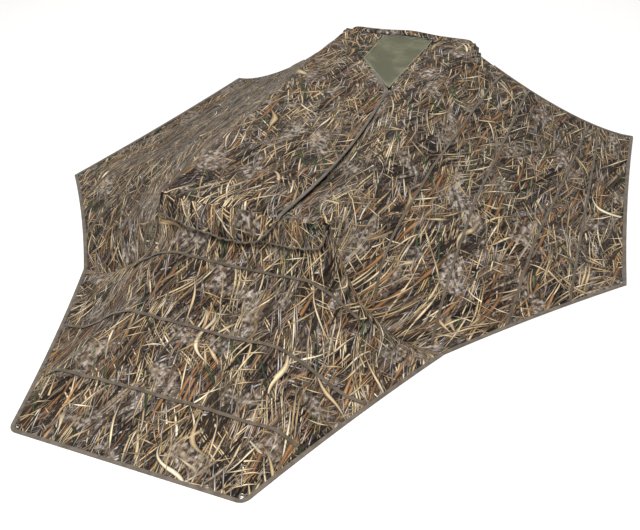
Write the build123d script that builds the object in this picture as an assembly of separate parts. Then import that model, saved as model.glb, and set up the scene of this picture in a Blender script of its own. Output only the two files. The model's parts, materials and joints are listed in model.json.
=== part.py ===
from build123d import *
import os
from math import cos, hypot, sin, radians

# Layout field blind: a low camouflage shelter for one person lying down.
# Millimetres. X points right, Y from the foot hem towards the head, Z up from the ground.
# Everything is drawn from the foot hem, and save() moves the origin to the middle of the footprint.

# ---- overall cloth outline, one side, at the outer edge of the hem binding ----
LENGTH = 2400
FOOT_CORNER = (372, 0)
WAIST_CORNER = (650, 765)
WING_FRONT = (1085, 1325)
WING_REAR = (912, LENGTH)
REAR_EDGE_END = (262, 2235)
BINDING_WIDTH = 12
BINDING_THICK = 3
CLOTH = 1.5

# ---- hinge line, where the two doors turn ----
HINGE_X = 275
HINGE_Z = 352
HINGE_RAIL_R = 9.5
RAIL_FRONT_Y = 775
RAIL_REAR_Y = 2268

# ---- base frame ----
BASE_R = 12.7
BASE_X = 290
BASE_Z = 17
FOOT_TUBE_Y = 180
SEAT_TUBE_Y = 1345
HEAD_TUBE_Y = 2200
RAIL_END_Y = 2275
TUBE_WALL = 1.5

# ---- hoops ----
HOOP_R = 9.5
KNEE_HOOP_R = 8
KNEE_BEND = 75
HOOP_TOP_X = 253
TOE_BAR_Y = 240
TOE_BAR_Z = 41
KNEE_HOOP_Y = 726
FRONT_HOOP_Y = 815
HEAD_HOOP_Y = 2255
HEAD_ARCH_Z = 378
HEAD_SHOULDER_Z = 373
HEAD_BEND = 24
HEAD_ARCH_R = 900
LEG_FOOT_Z = 31

# ---- foot cover: (y, height, half width of the flat top) of its cross rows ----
FOOT_ROWS = [(238, 53, 349), (485, 127, 340), (732, 202, 331)]
COVER_WALL_Y = 769
COVER_WALL_BASE_Z = 256
COVER_WALL_TOP_Z = 335

# ---- wing skirts ----
SKIRT_TOP_X = 314
SKIRT_TOP_Z = 325
SKIRT_SAG = 1.4
SKIRT_STEPS = [0, 0.17, 0.36, 0.57, 0.79, 1]

# ---- doors ----
DOOR_EDGE_X = 288
DOOR_GAP = 2
DOOR_REAR_Y = 2240
PANEL_Z = 379
PANEL_THICK = 2.5
BAIL_R = 6
BAIL_Z = 371
BAIL_FRONT_Y = 785
BAIL_REAR_Y = 2225
BAIL_INNER_X = 12
BAIL_DIP_Z = 356
LEFT_LIP_Y = 756
RIGHT_LIP_Y = 764
FLAP_EDGE_X = 105
FLAP_LAP = 28
COLLAR_HALF = 9
COLLAR_R = 13.5
RUNNING_GAP = 0.08

# ---- window between the doors ----
WINDOW_APEX_Y = 1718
WINDOW_LEFT = [(-2, 1845), (-95, 1960), (-106, DOOR_REAR_Y)]
WINDOW_RIGHT_X = 112
SCREEN = [(98, 1738), (-86, 1966), (-97, 2214), (100, 2214)]
SCREEN_HINGE_Y = 2222
SCREEN_HINGE_Z = 384
SCREEN_BORDER = 9
SCREEN_ROD_R = 3

# ---- backrest ----
RECLINE_Y = SEAT_TUBE_Y
RECLINE_Z = 52
RECLINE_ANGLE = 17
BACK_X = 215
BACK_LENGTH = 700
PIVOT_R = 4

# ---- small parts ----
GROMMET_BORE_R = 4.5
GROMMET_NECK_R = 6
GROMMET_FLANGE_R = 8.5
GROMMETS = [(360, 30), (625, 817), (1056, 1330), (890, 2370)]
STRAP_HALF = 10
STRAP_LIFT = 4.5
STRAP_STEP = 18
WING_STRAPS = [((412, 800), (400, 2245)), ((600, 812), (500, 2272)),
               ((785, 975), (742, 2330)), ((940, 1168), (782, 2345))]

os.makedirs("parts", exist_ok=True)


def save(node, *shapes):
    """Write one named sub-part, moved so that the origin is under the middle of the blind."""
    solids = [solid for shape in shapes for solid in shape.solids()]
    body = solids[0] if len(solids) == 1 else Compound(solids)
    export_step(Pos(0, -LENGTH / 2, 0) * body, f"parts/{node}.step")


def both_sides(shape):
    return [shape, mirror(shape, about=Plane.YZ)]


def rod(path, radius):
    """Solid round bar along a path."""
    return sweep(Plane(origin=path @ 0, z_dir=path % 0) * Circle(radius), path=path)


def tube(path, radius, wall=TUBE_WALL):
    """Hollow round tube along a path."""
    ring = Circle(radius) - Circle(radius - wall)
    return sweep(Plane(origin=path @ 0, z_dir=path % 0) * ring, path=path)


def block(low, high):
    """Box between two corners."""
    size = [b - a for a, b in zip(low, high)]
    middle = [(a + b) / 2 for a, b in zip(low, high)]
    return Pos(*middle) * Box(*size)


def plate(outline, low_z, thick):
    """Flat plate from a closed outline of (x, y) points."""
    return extrude(Pos(0, 0, low_z) * make_face(Polyline(*outline, close=True)), thick)


def upright(outline, y, thick, radius=0):
    """Upright plate facing the foot end, from a closed outline of (x, z) points."""
    points = [(x, y, z) for x, z in outline]
    if radius:
        face = make_face(FilletPolyline(*points, radius=radius, close=True))
    else:
        face = make_face(Polyline(*points, close=True))
    return extrude(face, thick, dir=(0, 1, 0))


def cloth(rows, drops=None):
    """Thin closed sheet under a grid of points, made of flat facets."""
    top = [[Vector(*point) for point in row] for row in rows]
    fall = drops or [[(0, 0, -CLOTH)] * len(row) for row in rows]
    low = [[point + Vector(*shift) for point, shift in zip(row, shifts)]
           for row, shifts in zip(top, fall)]
    faces = []
    for i in range(len(rows) - 1):
        for j in range(len(rows[0]) - 1):
            for grid in (top, low):
                a, b = grid[i][j], grid[i + 1][j]
                c, d = grid[i + 1][j + 1], grid[i][j + 1]
                faces.append(Face(Wire.make_polygon([a, b, c], close=True)))
                faces.append(Face(Wire.make_polygon([a, c, d], close=True)))
    last_row, last_column = len(rows) - 1, len(rows[0]) - 1
    rim = [(i, 0) for i in range(last_row)]
    rim += [(last_row, j) for j in range(last_column)]
    rim += [(i, last_column) for i in range(last_row, 0, -1)]
    rim += [(0, j) for j in range(last_column, 0, -1)]
    for (a, b), (c, d) in zip(rim, rim[1:] + rim[:1]):
        faces.append(Face(Wire.make_polygon([top[a][b], top[c][d], low[c][d]], close=True)))
        faces.append(Face(Wire.make_polygon([top[a][b], low[c][d], low[a][b]], close=True)))
    return Solid(Shell(faces))


def height(rows, x, y):
    """Height of a faceted sheet above the point (x, y), or None beside it."""
    for i in range(len(rows) - 1):
        for j in range(len(rows[0]) - 1):
            a, b = rows[i][j], rows[i + 1][j]
            c, d = rows[i + 1][j + 1], rows[i][j + 1]
            for p, q, r in ((a, b, c), (a, c, d)):
                area = (q[0] - p[0]) * (r[1] - p[1]) - (r[0] - p[0]) * (q[1] - p[1])
                if abs(area) < 1e-6:
                    continue
                u = ((x - p[0]) * (r[1] - p[1]) - (r[0] - p[0]) * (y - p[1])) / area
                v = ((q[0] - p[0]) * (y - p[1]) - (x - p[0]) * (q[1] - p[1])) / area
                if u >= -1e-6 and v >= -1e-6 and u + v <= 1 + 1e-6:
                    return p[2] + u * (q[2] - p[2]) + v * (r[2] - p[2])
    return None


def between(p, q, t):
    return tuple(a + (b - a) * t for a, b in zip(p, q))


def inset(points, distance):
    """Corners of a closed outline moved inwards by a distance (outline runs anticlockwise)."""
    moved = []
    for before, here, after in zip(points[-1:] + points[:-1], points, points[1:] + points[:1]):
        ax, ay = here[0] - before[0], here[1] - before[1]
        bx, by = after[0] - here[0], after[1] - here[1]
        a_len, b_len = hypot(ax, ay), hypot(bx, by)
        nax, nay, nbx, nby = -ay / a_len, ax / a_len, -by / b_len, bx / b_len
        scale = distance / (1 + nax * nbx + nay * nby)
        moved.append((here[0] + (nax + nbx) * scale, here[1] + (nay + nby) * scale))
    return moved


# ---------------------------------------------------------------- cloth outline
right_side = [FOOT_CORNER, WAIST_CORNER, WING_FRONT, WING_REAR, REAR_EDGE_END]
left_side = [(-x, y) for x, y in reversed(right_side)]
outer = right_side + left_side
inner = inset(outer, BINDING_WIDTH)
foot_in, waist_in, front_in, rear_in, hood_in = inner[:5]

# ---------------------------------------------------------------- wing skirts
rear_slope = (hood_in[1] - rear_in[1]) / (hood_in[0] - rear_in[0])
skirt_rear_y = rear_in[1] + (SKIRT_TOP_X - rear_in[0]) * rear_slope
SEAM_GAP = 5
skirt_front_y = COVER_WALL_Y + CLOTH + SEAM_GAP
waist_start = between(waist_in, front_in, 0.02)
hem_stations = [waist_start, between(waist_in, front_in, 0.5), front_in]
hem_stations += [between(front_in, rear_in, t / 3) for t in (1, 2, 3)]
wing_rows = []
for number, hem in enumerate(hem_stations):
    top_y = skirt_front_y + (skirt_rear_y - skirt_front_y) * number / (len(hem_stations) - 1)
    row = []
    for step in SKIRT_STEPS:
        x, y = between((SKIRT_TOP_X, top_y), hem, step)
        row.append((x, y, CLOTH + (SKIRT_TOP_Z - CLOTH) * (1 - step) ** SKIRT_SAG))
    wing_rows.append(row)

# ---------------------------------------------------------------- foot cover
def hem_point(y):
    return between(foot_in, waist_in, (y - foot_in[1]) / (waist_in[1] - foot_in[1]))


def cover_row(y, z, half, hem):
    """One cross row: hem, slack slope, ridge, flat top, and the same on the other side."""
    middle = between((half, y), hem, 0.5)
    right = [(0, y, z + CLOTH), (half, y, z + CLOTH),
             (middle[0], middle[1], 0.42 * z + CLOTH), (hem[0], hem[1], CLOTH)]
    return [(-a, b, c) for a, b, c in reversed(right[1:])] + right


foot_rows = [cover_row(foot_in[1], 0, foot_in[0] - 24, foot_in)]
foot_rows += [cover_row(y, z, half, hem_point(y)) for y, z, half in FOOT_ROWS]
foot_rows.append(cover_row(COVER_WALL_Y, COVER_WALL_BASE_Z, 318, hem_point(waist_in[1] - 9)))
foot_rows.append(cover_row(COVER_WALL_Y + 0.5, COVER_WALL_TOP_Z, 304, waist_in))
down, back = (0, 0, -CLOTH), (0, CLOTH, -0.3)
cover_drops = [[down] * 7] * 4 + [[down] + [back] * 5 + [down]] * 2


def grommet(x, y, rows):
    """Pressed ring: a neck through the cloth and a flange on top of it."""
    reach = GROMMET_FLANGE_R + 0.2
    spread = [(side * x + a * reach, y + b * reach)
              for side in (-1, 1) for a in (-1, 0, 1) for b in (-1, 0, 1)]
    top = max(height(rows, *point) or 0 for point in spread) + 0.2
    ring = Pos(x, y, top / 2) * Cylinder(GROMMET_NECK_R, top)
    ring += Pos(x, y, top + 0.6) * Cylinder(GROMMET_FLANGE_R, 1.2)
    return ring - Pos(x, y, top / 2) * Cylinder(GROMMET_BORE_R, top + 4)


def grommet_hole(x, y):
    return Pos(x, y, 0) * Cylinder(GROMMET_NECK_R + 0.3, 200)


wing = cloth(wing_rows)
for x, y in GROMMETS[1:]:
    wing -= grommet_hole(x, y)
cover = cloth(foot_rows, cover_drops)
for x, y in (GROMMETS[0], (-GROMMETS[0][0], GROMMETS[0][1])):
    cover -= grommet_hole(x, y)
save("right_skirt", wing)
save("left_skirt", mirror(wing, about=Plane.YZ))
save("foot_cover", cover)
rings = [grommet(*GROMMETS[0], foot_rows)]
rings += [grommet(x, y, wing_rows) for x, y in GROMMETS[1:]]
save("grommets", *[half for ring in rings for half in both_sides(ring)])

# ---------------------------------------------------------------- hem binding
edge_pairs = list(zip(outer, inner))
runs = []
for start in (-1, 0, 1, 2):
    (a, a_in), (b, b_in) = edge_pairs[start], edge_pairs[start + 1]
    run = plate([a, b, b_in, a_in], 0, BINDING_THICK)
    runs += [run] if start == -1 else both_sides(run)
rear_edge = wing_rows[-1]
shift = (WING_REAR[0] - rear_in[0], WING_REAR[1] - rear_in[1])
tape = cloth([[(x, y + 0.3, z) for x, y, z in rear_edge],
              [(x, y + shift[1] - 2, z) for x, y, z in rear_edge]])
runs += both_sides(tape)
save("hem_binding", *runs)


# ---------------------------------------------------------------- stubble straps
def strap_along(rows, start, end, across):
    """Webbing just above a sheet, between two points; across is the half width vector."""
    pieces = round(hypot(end[0] - start[0], end[1] - start[1]) / STRAP_STEP)
    edges = []
    for number in range(pieces + 1):
        x, y = between(start, end, number / pieces)
        pair = [(x + side * across[0], y + side * across[1]) for side in (-1, 1)]
        if all(height(rows, a, b) is not None for a, b in pair):
            edges.append([(a, b, height(rows, a, b) + STRAP_LIFT) for a, b in pair])
    return cloth(edges)


wing_webbing = [strap_along(wing_rows, a, b, (STRAP_HALF, 0)) for a, b in WING_STRAPS]
save("right_stubble_straps", *wing_webbing)
save("left_stubble_straps", *[mirror(strap, about=Plane.YZ) for strap in wing_webbing])
foot_webbing = []
for y, _, _ in FOOT_ROWS:
    strap_y = min(y, KNEE_HOOP_Y - 8)
    reach = hem_point(strap_y)[0] - 20
    foot_webbing.append(strap_along(foot_rows, (-reach, strap_y), (reach, strap_y),
                                    (0, STRAP_HALF)))
save("foot_stubble_straps", *foot_webbing)

# ---------------------------------------------------------------- base frame
ELBOW_R = 15.2
ELBOW_REACH = 45
INSERT = 22
for name, side in (("left", -1), ("right", 1)):
    start = (side * BASE_X, FOOT_TUBE_Y + INSERT + BASE_R, BASE_Z)
    end = (side * BASE_X, RAIL_END_Y, BASE_Z)
    save(f"base_rail_{name}", tube(Line(start, end), BASE_R))
    hinge = Line((side * HINGE_X, RAIL_FRONT_Y, HINGE_Z), (side * HINGE_X, RAIL_REAR_Y, HINGE_Z))
    save(f"hinge_rail_{name}", tube(hinge, HINGE_RAIL_R))
base_cores = [rod(Line((s * BASE_X, FOOT_TUBE_Y, BASE_Z), (s * BASE_X, RAIL_END_Y, BASE_Z)),
                  BASE_R) for s in (-1, 1)]
foot_half = BASE_X - INSERT - BASE_R
tee_half = BASE_X - BASE_R - 0.5
cross_cores = {}
for name, y, half in (("foot", FOOT_TUBE_Y, foot_half), ("seat", SEAT_TUBE_Y, tee_half),
                      ("head", HEAD_TUBE_Y, tee_half)):
    line = Line((-half, y, BASE_Z), (half, y, BASE_Z))
    save(f"{name}_cross_tube", tube(line, BASE_R))
    cross_cores[y] = rod(line, BASE_R)

elbow_path = FilletPolyline((BASE_X - ELBOW_REACH, FOOT_TUBE_Y, BASE_Z),
                            (BASE_X, FOOT_TUBE_Y, BASE_Z),
                            (BASE_X, FOOT_TUBE_Y + ELBOW_REACH, BASE_Z), radius=20)
elbow = tube(elbow_path, ELBOW_R, ELBOW_R - BASE_R - 0.1)
save("corner_elbows", *both_sides(elbow))

# ---------------------------------------------------------------- hoops
save("toe_bar", tube(Line((-335, TOE_BAR_Y, TOE_BAR_Z), (335, TOE_BAR_Y, TOE_BAR_Z)),
                     KNEE_HOOP_R))


def hoop_path(y, top_x, shoulder_z, crown_z, bend, crown_bend=None):
    points = [(-BASE_X, y, LEG_FOOT_Z), (-top_x, y, shoulder_z)]
    bends = [bend]
    if crown_bend:
        points.append((0, y, crown_z))
        bends.append(crown_bend)
    points += [(top_x, y, shoulder_z), (BASE_X, y, LEG_FOOT_Z)]
    return FilletPolyline(*points, radius=bends + [bend])


knee_path = hoop_path(KNEE_HOOP_Y, 318, 190, 190, KNEE_BEND)
front_path = hoop_path(FRONT_HOOP_Y, HOOP_TOP_X, HINGE_Z, HINGE_Z, 45)
head_path = hoop_path(HEAD_HOOP_Y, HOOP_TOP_X, HEAD_SHOULDER_Z, HEAD_ARCH_Z, HEAD_BEND,
                      HEAD_ARCH_R)
save("knee_hoop", tube(knee_path, KNEE_HOOP_R))
save("front_hoop", tube(front_path, HOOP_R))
save("head_hoop", tube(head_path, HOOP_R))

# ---------------------------------------------------------------- brackets, clamps, knobs
STUD_R = 3
KNOB_R = 13


def knob(x, y, z, outward):
    """Lobed hand knob on a stud that points inwards along X."""
    head = Cylinder(KNOB_R, 10)
    for number in range(6):
        head -= Rot(0, 0, 60 * number) * Pos(KNOB_R + 2, 0, 0) * Cylinder(5, 10)
    head = chamfer(head.edges().group_by(Axis.Z)[-1], 0.8)
    stud = Pos(0, 0, -8) * Cylinder(STUD_R, 6)
    return Pos(x, y, z) * Rot(0, outward * 90, 0) * (head + stud)


def stud_hole(x, y, z):
    return Pos(x, y, z) * Rot(0, 90, 0) * Cylinder(STUD_R, 30)


brackets, clamps, knobs = [], [], []
hoop_cores = {KNEE_HOOP_Y: rod(knee_path, KNEE_HOOP_R), FRONT_HOOP_Y: rod(front_path, HOOP_R),
              HEAD_HOOP_Y: rod(head_path, HOOP_R)}
BRACKET_TOP_Z = 62
for y, core in hoop_cores.items():
    bracket = block((BASE_X - 18, y - 15, CLOTH + 0.3), (BASE_X + 18, y + 15, BRACKET_TOP_Z))
    bracket = fillet(bracket.edges().filter_by(Axis.Z), 5)
    bracket -= base_cores[1] + core
    bracket -= stud_hole(BASE_X + 18, y, 48)
    brackets += both_sides(bracket)
    knobs += both_sides(knob(BASE_X + 18 + 5.5, y, 48, 1))
saddle = block((BASE_X - 16, TOE_BAR_Y - 12, BASE_Z), (BASE_X + 16, TOE_BAR_Y + 12, TOE_BAR_Z))
toe_core = rod(Line((0, TOE_BAR_Y, TOE_BAR_Z), (335, TOE_BAR_Y, TOE_BAR_Z)), KNEE_HOOP_R)
brackets += both_sides(saddle - base_cores[1] - toe_core)
for y in (SEAT_TUBE_Y, HEAD_TUBE_Y):
    tee = block((BASE_X - 45, y - 17, CLOTH + 0.3), (BASE_X + 16, y + 17, 33))
    brackets += both_sides(tee - base_cores[1] - cross_cores[y])
save("frame_brackets", *brackets)

rail_core = rod(Line((HINGE_X, RAIL_FRONT_Y, HINGE_Z), (HINGE_X, RAIL_REAR_Y + 10, HINGE_Z)),
                HINGE_RAIL_R)
for y in (FRONT_HOOP_Y, HEAD_HOOP_Y):
    clamp = block((HOOP_TOP_X - 12, y - 11.5, HINGE_Z - 40),
                  (HINGE_X + 12, y + 11.5, HINGE_Z + 8))
    clamp = fillet(clamp.edges().filter_by(Axis.Y), 4)
    clamp -= rail_core + hoop_cores[y]
    clamp -= stud_hole(HINGE_X + 12, y, HINGE_Z - 24)
    clamps += both_sides(clamp)
    knobs += both_sides(knob(HINGE_X + 12 + 5.5, y, HINGE_Z - 24, 1))
save("shoulder_clamps", *clamps)
save("hand_knobs", *knobs)

CAP_THICK = 2
caps = []
for x, y, z, radius, axis in (
        (HINGE_X, RAIL_FRONT_Y - CAP_THICK / 2, HINGE_Z, HINGE_RAIL_R, Rot(90, 0, 0)),
        (HINGE_X, RAIL_REAR_Y + CAP_THICK / 2, HINGE_Z, HINGE_RAIL_R, Rot(90, 0, 0)),
        (BASE_X, RAIL_END_Y + CAP_THICK / 2, BASE_Z, BASE_R, Rot(90, 0, 0)),
        (335 + CAP_THICK / 2, TOE_BAR_Y, TOE_BAR_Z, KNEE_HOOP_R, Rot(0, 90, 0))):
    caps += both_sides(Pos(x, y, z) * axis * Cylinder(radius, CAP_THICK))
save("tube_end_caps", *caps)

# ---------------------------------------------------------------- floor, seat, head end
floor = block((-330, 40, 0), (330, 2280, CLOTH))
save("floor_sheet", fillet(floor.edges().filter_by(Axis.Z), 40))
seat = block((-225, 880, CLOTH + 0.2), (225, 1300, 44))
seat = fillet(seat.edges().filter_by(Axis.Z), 45)
save("seat_pad", fillet(seat.edges().group_by(Axis.Z)[-1], 12))

head_profile = [(-286, 36), (-HOOP_TOP_X - 8, HEAD_SHOULDER_Z + 8), (0, HEAD_ARCH_Z + 8),
                (HOOP_TOP_X + 8, HEAD_SHOULDER_Z + 8), (286, 36)]
save("rear_panel", upright(head_profile, RAIL_END_Y + 4, CLOTH, radius=HEAD_BEND))


def arch(grow, base_z):
    """Closed outline over the head hoop, grown outwards."""
    side = HOOP_TOP_X + HOOP_R + grow
    shoulder = HEAD_SHOULDER_Z + HOOP_R + grow
    lean = (BASE_X - HOOP_TOP_X) / (HEAD_SHOULDER_Z - LEG_FOOT_Z)
    foot = side + lean * (HEAD_SHOULDER_Z - base_z)
    points = [(-foot, base_z), (-side, shoulder), (0, HEAD_ARCH_Z + HOOP_R + grow),
              (side, shoulder), (foot, base_z)]
    bend = HEAD_BEND + 6 + grow
    path = FilletPolyline(*[(x, 0, z) for x, z in points], radius=[bend, HEAD_ARCH_R, bend])
    return make_face(path + Line(path @ 1, path @ 0))


band = Pos(0, 2250, 0) * extrude(arch(3.2, 330) - arch(1.4, 329), 34, dir=(0, 1, 0))
save("hood_band", band - block((-400, 2200, 300), (400, 2300, HINGE_Z + HINGE_RAIL_R + 3)))

# ---------------------------------------------------------------- doors
left_bail_path = FilletPolyline(
    (-HINGE_X - 10, BAIL_FRONT_Y, BAIL_Z), (-BAIL_INNER_X, BAIL_FRONT_Y, BAIL_Z),
    (-BAIL_INNER_X, 1838, BAIL_Z), (-104, 1952, BAIL_Z), (-118, BAIL_REAR_Y, BAIL_Z),
    (-HINGE_X - 10, BAIL_REAR_Y, BAIL_Z), radius=[30, 60, 60, 30])
# the right bail's front arm dips, so that the left door's lap can lie low on it
right_bail_path = FilletPolyline(
    (HINGE_X + 10, BAIL_FRONT_Y, BAIL_Z), (225, BAIL_FRONT_Y, BAIL_Z),
    (118, BAIL_FRONT_Y, BAIL_DIP_Z), (BAIL_INNER_X, BAIL_FRONT_Y, BAIL_Z),
    (BAIL_INNER_X, 1688, BAIL_Z), (122, 1700, BAIL_Z), (122, BAIL_REAR_Y, BAIL_Z),
    (HINGE_X + 10, BAIL_REAR_Y, BAIL_Z), radius=[120, 120, 20, 30, 30, 30])
save("left_bail", tube(left_bail_path, BAIL_R))
save("right_bail", tube(right_bail_path, BAIL_R))

left_panel = plate([(-DOOR_EDGE_X, LEFT_LIP_Y), (-DOOR_GAP, LEFT_LIP_Y)] + WINDOW_LEFT
                   + [(-DOOR_EDGE_X, DOOR_REAR_Y)], PANEL_Z, PANEL_THICK)
right_panel = plate([(DOOR_GAP, RIGHT_LIP_Y), (DOOR_EDGE_X, RIGHT_LIP_Y),
                     (DOOR_EDGE_X, DOOR_REAR_Y), (WINDOW_RIGHT_X, DOOR_REAR_Y),
                     (WINDOW_RIGHT_X, 1700), (DOOR_GAP, 1700)], PANEL_Z, PANEL_THICK)
save("left_door_panel", left_panel)
save("right_door_panel", right_panel)

flap_z = PANEL_Z + PANEL_THICK + 0.5
flap_rear = [(FLAP_EDGE_X, WINDOW_APEX_Y), (-FLAP_LAP, 1872)]
save("left_door_flap", plate([(-FLAP_LAP, LEFT_LIP_Y), (FLAP_EDGE_X, LEFT_LIP_Y)] + flap_rear,
                             flap_z, PANEL_THICK))
edge_outer = FLAP_EDGE_X + 5
save("left_door_binding",
     block((FLAP_EDGE_X + 0.1, LEFT_LIP_Y, flap_z - 0.2), (edge_outer, WINDOW_APEX_Y, flap_z + 4)),
     plate([(FLAP_EDGE_X, WINDOW_APEX_Y + 0.5), (edge_outer, WINDOW_APEX_Y + 0.5),
            (-FLAP_LAP + 3, 1882), (-FLAP_LAP - 1, 1874)], flap_z - 0.2, 4))
save("right_door_binding",
     block((WINDOW_RIGHT_X - 5, WINDOW_APEX_Y + 4, PANEL_Z), (WINDOW_RIGHT_X - 0.1, DOOR_REAR_Y, PANEL_Z + 4)))

left_lip = upright([(-DOOR_EDGE_X, PANEL_Z), (-DOOR_EDGE_X, 305), (-85, 262), (20, 262),
                    (FLAP_EDGE_X, 330), (FLAP_EDGE_X, PANEL_Z)], LEFT_LIP_Y, PANEL_THICK)
right_lip = upright([(DOOR_GAP, PANEL_Z), (DOOR_GAP, 275), (190, 272), (276, 300),
                     (DOOR_EDGE_X, 330), (DOOR_EDGE_X, PANEL_Z)], RIGHT_LIP_Y, PANEL_THICK)
save("left_door_lip", left_lip)
save("right_door_lip", right_lip)

ARM_COLLAR_R = 7.8
collars = []
for y in (BAIL_FRONT_Y, BAIL_REAR_Y):
    at_hinge = Pos(HINGE_X, y, HINGE_Z) * Rot(90, 0, 0)
    collar = at_hinge * Cylinder(COLLAR_R, 2 * COLLAR_HALF)
    collar += block((HINGE_X - 11, y - COLLAR_HALF, HINGE_Z),
                    (HINGE_X + 11, y + COLLAR_HALF, BAIL_Z + ARM_COLLAR_R - 0.3))
    collar -= at_hinge * Cylinder(HINGE_RAIL_R + RUNNING_GAP, 60)
    collar -= rod(Line((HINGE_X + 20, y, BAIL_Z), (HINGE_X - 40, y, BAIL_Z)), BAIL_R + 0.05)
    collars.append(collar)
save("right_hinge_collars", *collars)
save("left_hinge_collars", *[mirror(collar, about=Plane.YZ) for collar in collars])

# ---------------------------------------------------------------- door springs
SPRING_WIRE_R = 1.2
SPRING_R = 12.4
SPRING_PITCH = 3.2
SPRING_TURNS = 5
springs = []
for y in (BAIL_FRONT_Y + COLLAR_HALF + 42, BAIL_REAR_Y - COLLAR_HALF - 20):
    coil = Helix(SPRING_PITCH, SPRING_PITCH * SPRING_TURNS, SPRING_R)
    wire = sweep(Plane(origin=coil @ 0, z_dir=coil % 0) * Circle(SPRING_WIRE_R), path=coil,
                 is_frenet=True)
    springs.append(Pos(HINGE_X, y, HINGE_Z) * Rot(-90, 0, 0) * wire)
save("right_door_springs", *springs)
save("left_door_springs", *[mirror(spring, about=Plane.YZ) for spring in springs])

# ---------------------------------------------------------------- pull straps
PULL_Y = 1120
PULL_WIDTH = 100
PULL_DROP = 34
webbing = block((23, PULL_Y, BAIL_Z - PULL_DROP), (25, PULL_Y + PULL_WIDTH, PANEL_Z - 0.5))
webbing -= block((20, PULL_Y + 20, BAIL_Z - PULL_DROP + 20), (30, PULL_Y + PULL_WIDTH - 20, 400))
webbing = fillet(webbing.edges().filter_by(Axis.X).group_by(Axis.Z)[0], 12)
save("right_pull_strap", webbing)
save("left_pull_strap", mirror(webbing, about=Plane.YZ))

# ---------------------------------------------------------------- face screen
SLEEVE_HALF = 74
rod_line = Line((-94, SCREEN_HINGE_Y, SCREEN_HINGE_Z), (96, SCREEN_HINGE_Y, SCREEN_HINGE_Z))
save("screen_rod", rod(rod_line, SCREEN_ROD_R))
border_in = inset(list(reversed(SCREEN)), SCREEN_BORDER)
border = plate(SCREEN, SCREEN_HINGE_Z - 0.8, 1.6) - plate(border_in, SCREEN_HINGE_Z - 2, 4)
sleeve_line = Line((-SLEEVE_HALF, SCREEN_HINGE_Y, SCREEN_HINGE_Z),
                   (SLEEVE_HALF, SCREEN_HINGE_Y, SCREEN_HINGE_Z))
sleeve = rod(sleeve_line, 5)
link = block((-SLEEVE_HALF, SCREEN[2][1] - 2, SCREEN_HINGE_Z - 0.8),
             (SLEEVE_HALF, SCREEN_HINGE_Y, SCREEN_HINGE_Z + 0.8))
sleeve_bore = rod(rod_line, SCREEN_ROD_R + RUNNING_GAP)
save("screen_border", border + sleeve + link - sleeve_bore)
save("screen_mesh", plate(border_in, SCREEN_HINGE_Z - 0.5, 1))
clips = []
for x in (-84, 86):
    eye = Pos(x, SCREEN_HINGE_Y, SCREEN_HINGE_Z) * Rot(0, 90, 0) * Cylinder(5.5, 9)
    neck = block((x - 4.5, SCREEN_HINGE_Y, SCREEN_HINGE_Z - 8),
                 (x + 4.5, HEAD_HOOP_Y, SCREEN_HINGE_Z - 1))
    clips.append(eye + neck - rod(rod_line, SCREEN_ROD_R) - hoop_cores[HEAD_HOOP_Y])
save("screen_rod_clips", *[max(clip.solids(), key=lambda s: s.volume) for clip in clips])

# ---------------------------------------------------------------- backrest and headrest
tilt = Pos(0, RECLINE_Y, RECLINE_Z) * Rot(RECLINE_ANGLE, 0, 0)
EYE_R = 13
EYE_HALF = 11
TUBE_START = 20
bases, arms = [], []
post = block((BACK_X - 15, RECLINE_Y - 16, BASE_Z), (BACK_X + 15, RECLINE_Y + 16, RECLINE_Z + 10))
post = fillet(post.edges().filter_by(Axis.X).group_by(Axis.Z)[-1], 8)
post -= block((BACK_X - EYE_HALF - 1, RECLINE_Y - 20, RECLINE_Z - EYE_R - 3),
              (BACK_X + EYE_HALF + 1, RECLINE_Y + 20, RECLINE_Z + 20))
post -= cross_cores[SEAT_TUBE_Y]
pin = Pos(BACK_X, RECLINE_Y, RECLINE_Z) * Rot(0, 90, 0) * Cylinder(PIVOT_R, 30)
bases += both_sides(post + pin)
save("recline_brackets", *bases)
eye = Rot(0, 90, 0) * Cylinder(EYE_R, 2 * EYE_HALF)
neck = rod(Line((0, 0, 0), (0, 55, 0)), HOOP_R - TUBE_WALL - 0.05)
arm = eye + neck - Rot(0, 90, 0) * Cylinder(PIVOT_R + RUNNING_GAP, 60)
save("recline_arms", *both_sides(tilt * Pos(BACK_X, 0, 0) * arm))

CORNER_R = 12
CORNER_REACH = 40
for name, side in (("left", -1), ("right", 1)):
    line = Line((side * BACK_X, TUBE_START, 0), (side * BACK_X, BACK_LENGTH - 22, 0))
    save(f"backrest_{name}_tube", tilt * tube(line, HOOP_R))
top_line = Line((-BACK_X + 22, BACK_LENGTH, 0), (BACK_X - 22, BACK_LENGTH, 0))
save("backrest_top_tube", tilt * tube(top_line, HOOP_R))
corner_path = FilletPolyline((BACK_X - CORNER_REACH, BACK_LENGTH, 0), (BACK_X, BACK_LENGTH, 0),
                             (BACK_X, BACK_LENGTH - CORNER_REACH, 0), radius=18)
corner = tube(corner_path, CORNER_R, CORNER_R - HOOP_R - 0.1)
save("backrest_corners", *both_sides(tilt * corner))
SLING_X = 222
sling = block((-SLING_X, 45, HOOP_R + 0.1), (SLING_X, BACK_LENGTH - CORNER_REACH - 4, HOOP_R + 3))
save("backrest_sling", tilt * fillet(sling.edges().filter_by(Axis.Z), 15))

HEAD_PAD_LOW = 15.4
head_pad = block((-130, 560, HEAD_PAD_LOW), (130, 690, 50))
head_pad = fillet(head_pad.edges().filter_by(Axis.Z), 30)
head_pad = fillet(head_pad.edges().group_by(Axis.Z)[-1], 12)
save("headrest_pad", tilt * head_pad)
loop = block((-228, 595, -12), (228, 633, 15)) - block((-226, 590, -10.2), (226, 640, 13.2))
save("headrest_strap", tilt * loop)
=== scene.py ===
"""Looks of the layout field blind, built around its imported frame. Metres, in the row's frame."""
import json
from math import ceil, cos, hypot, pi, radians, sin

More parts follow.
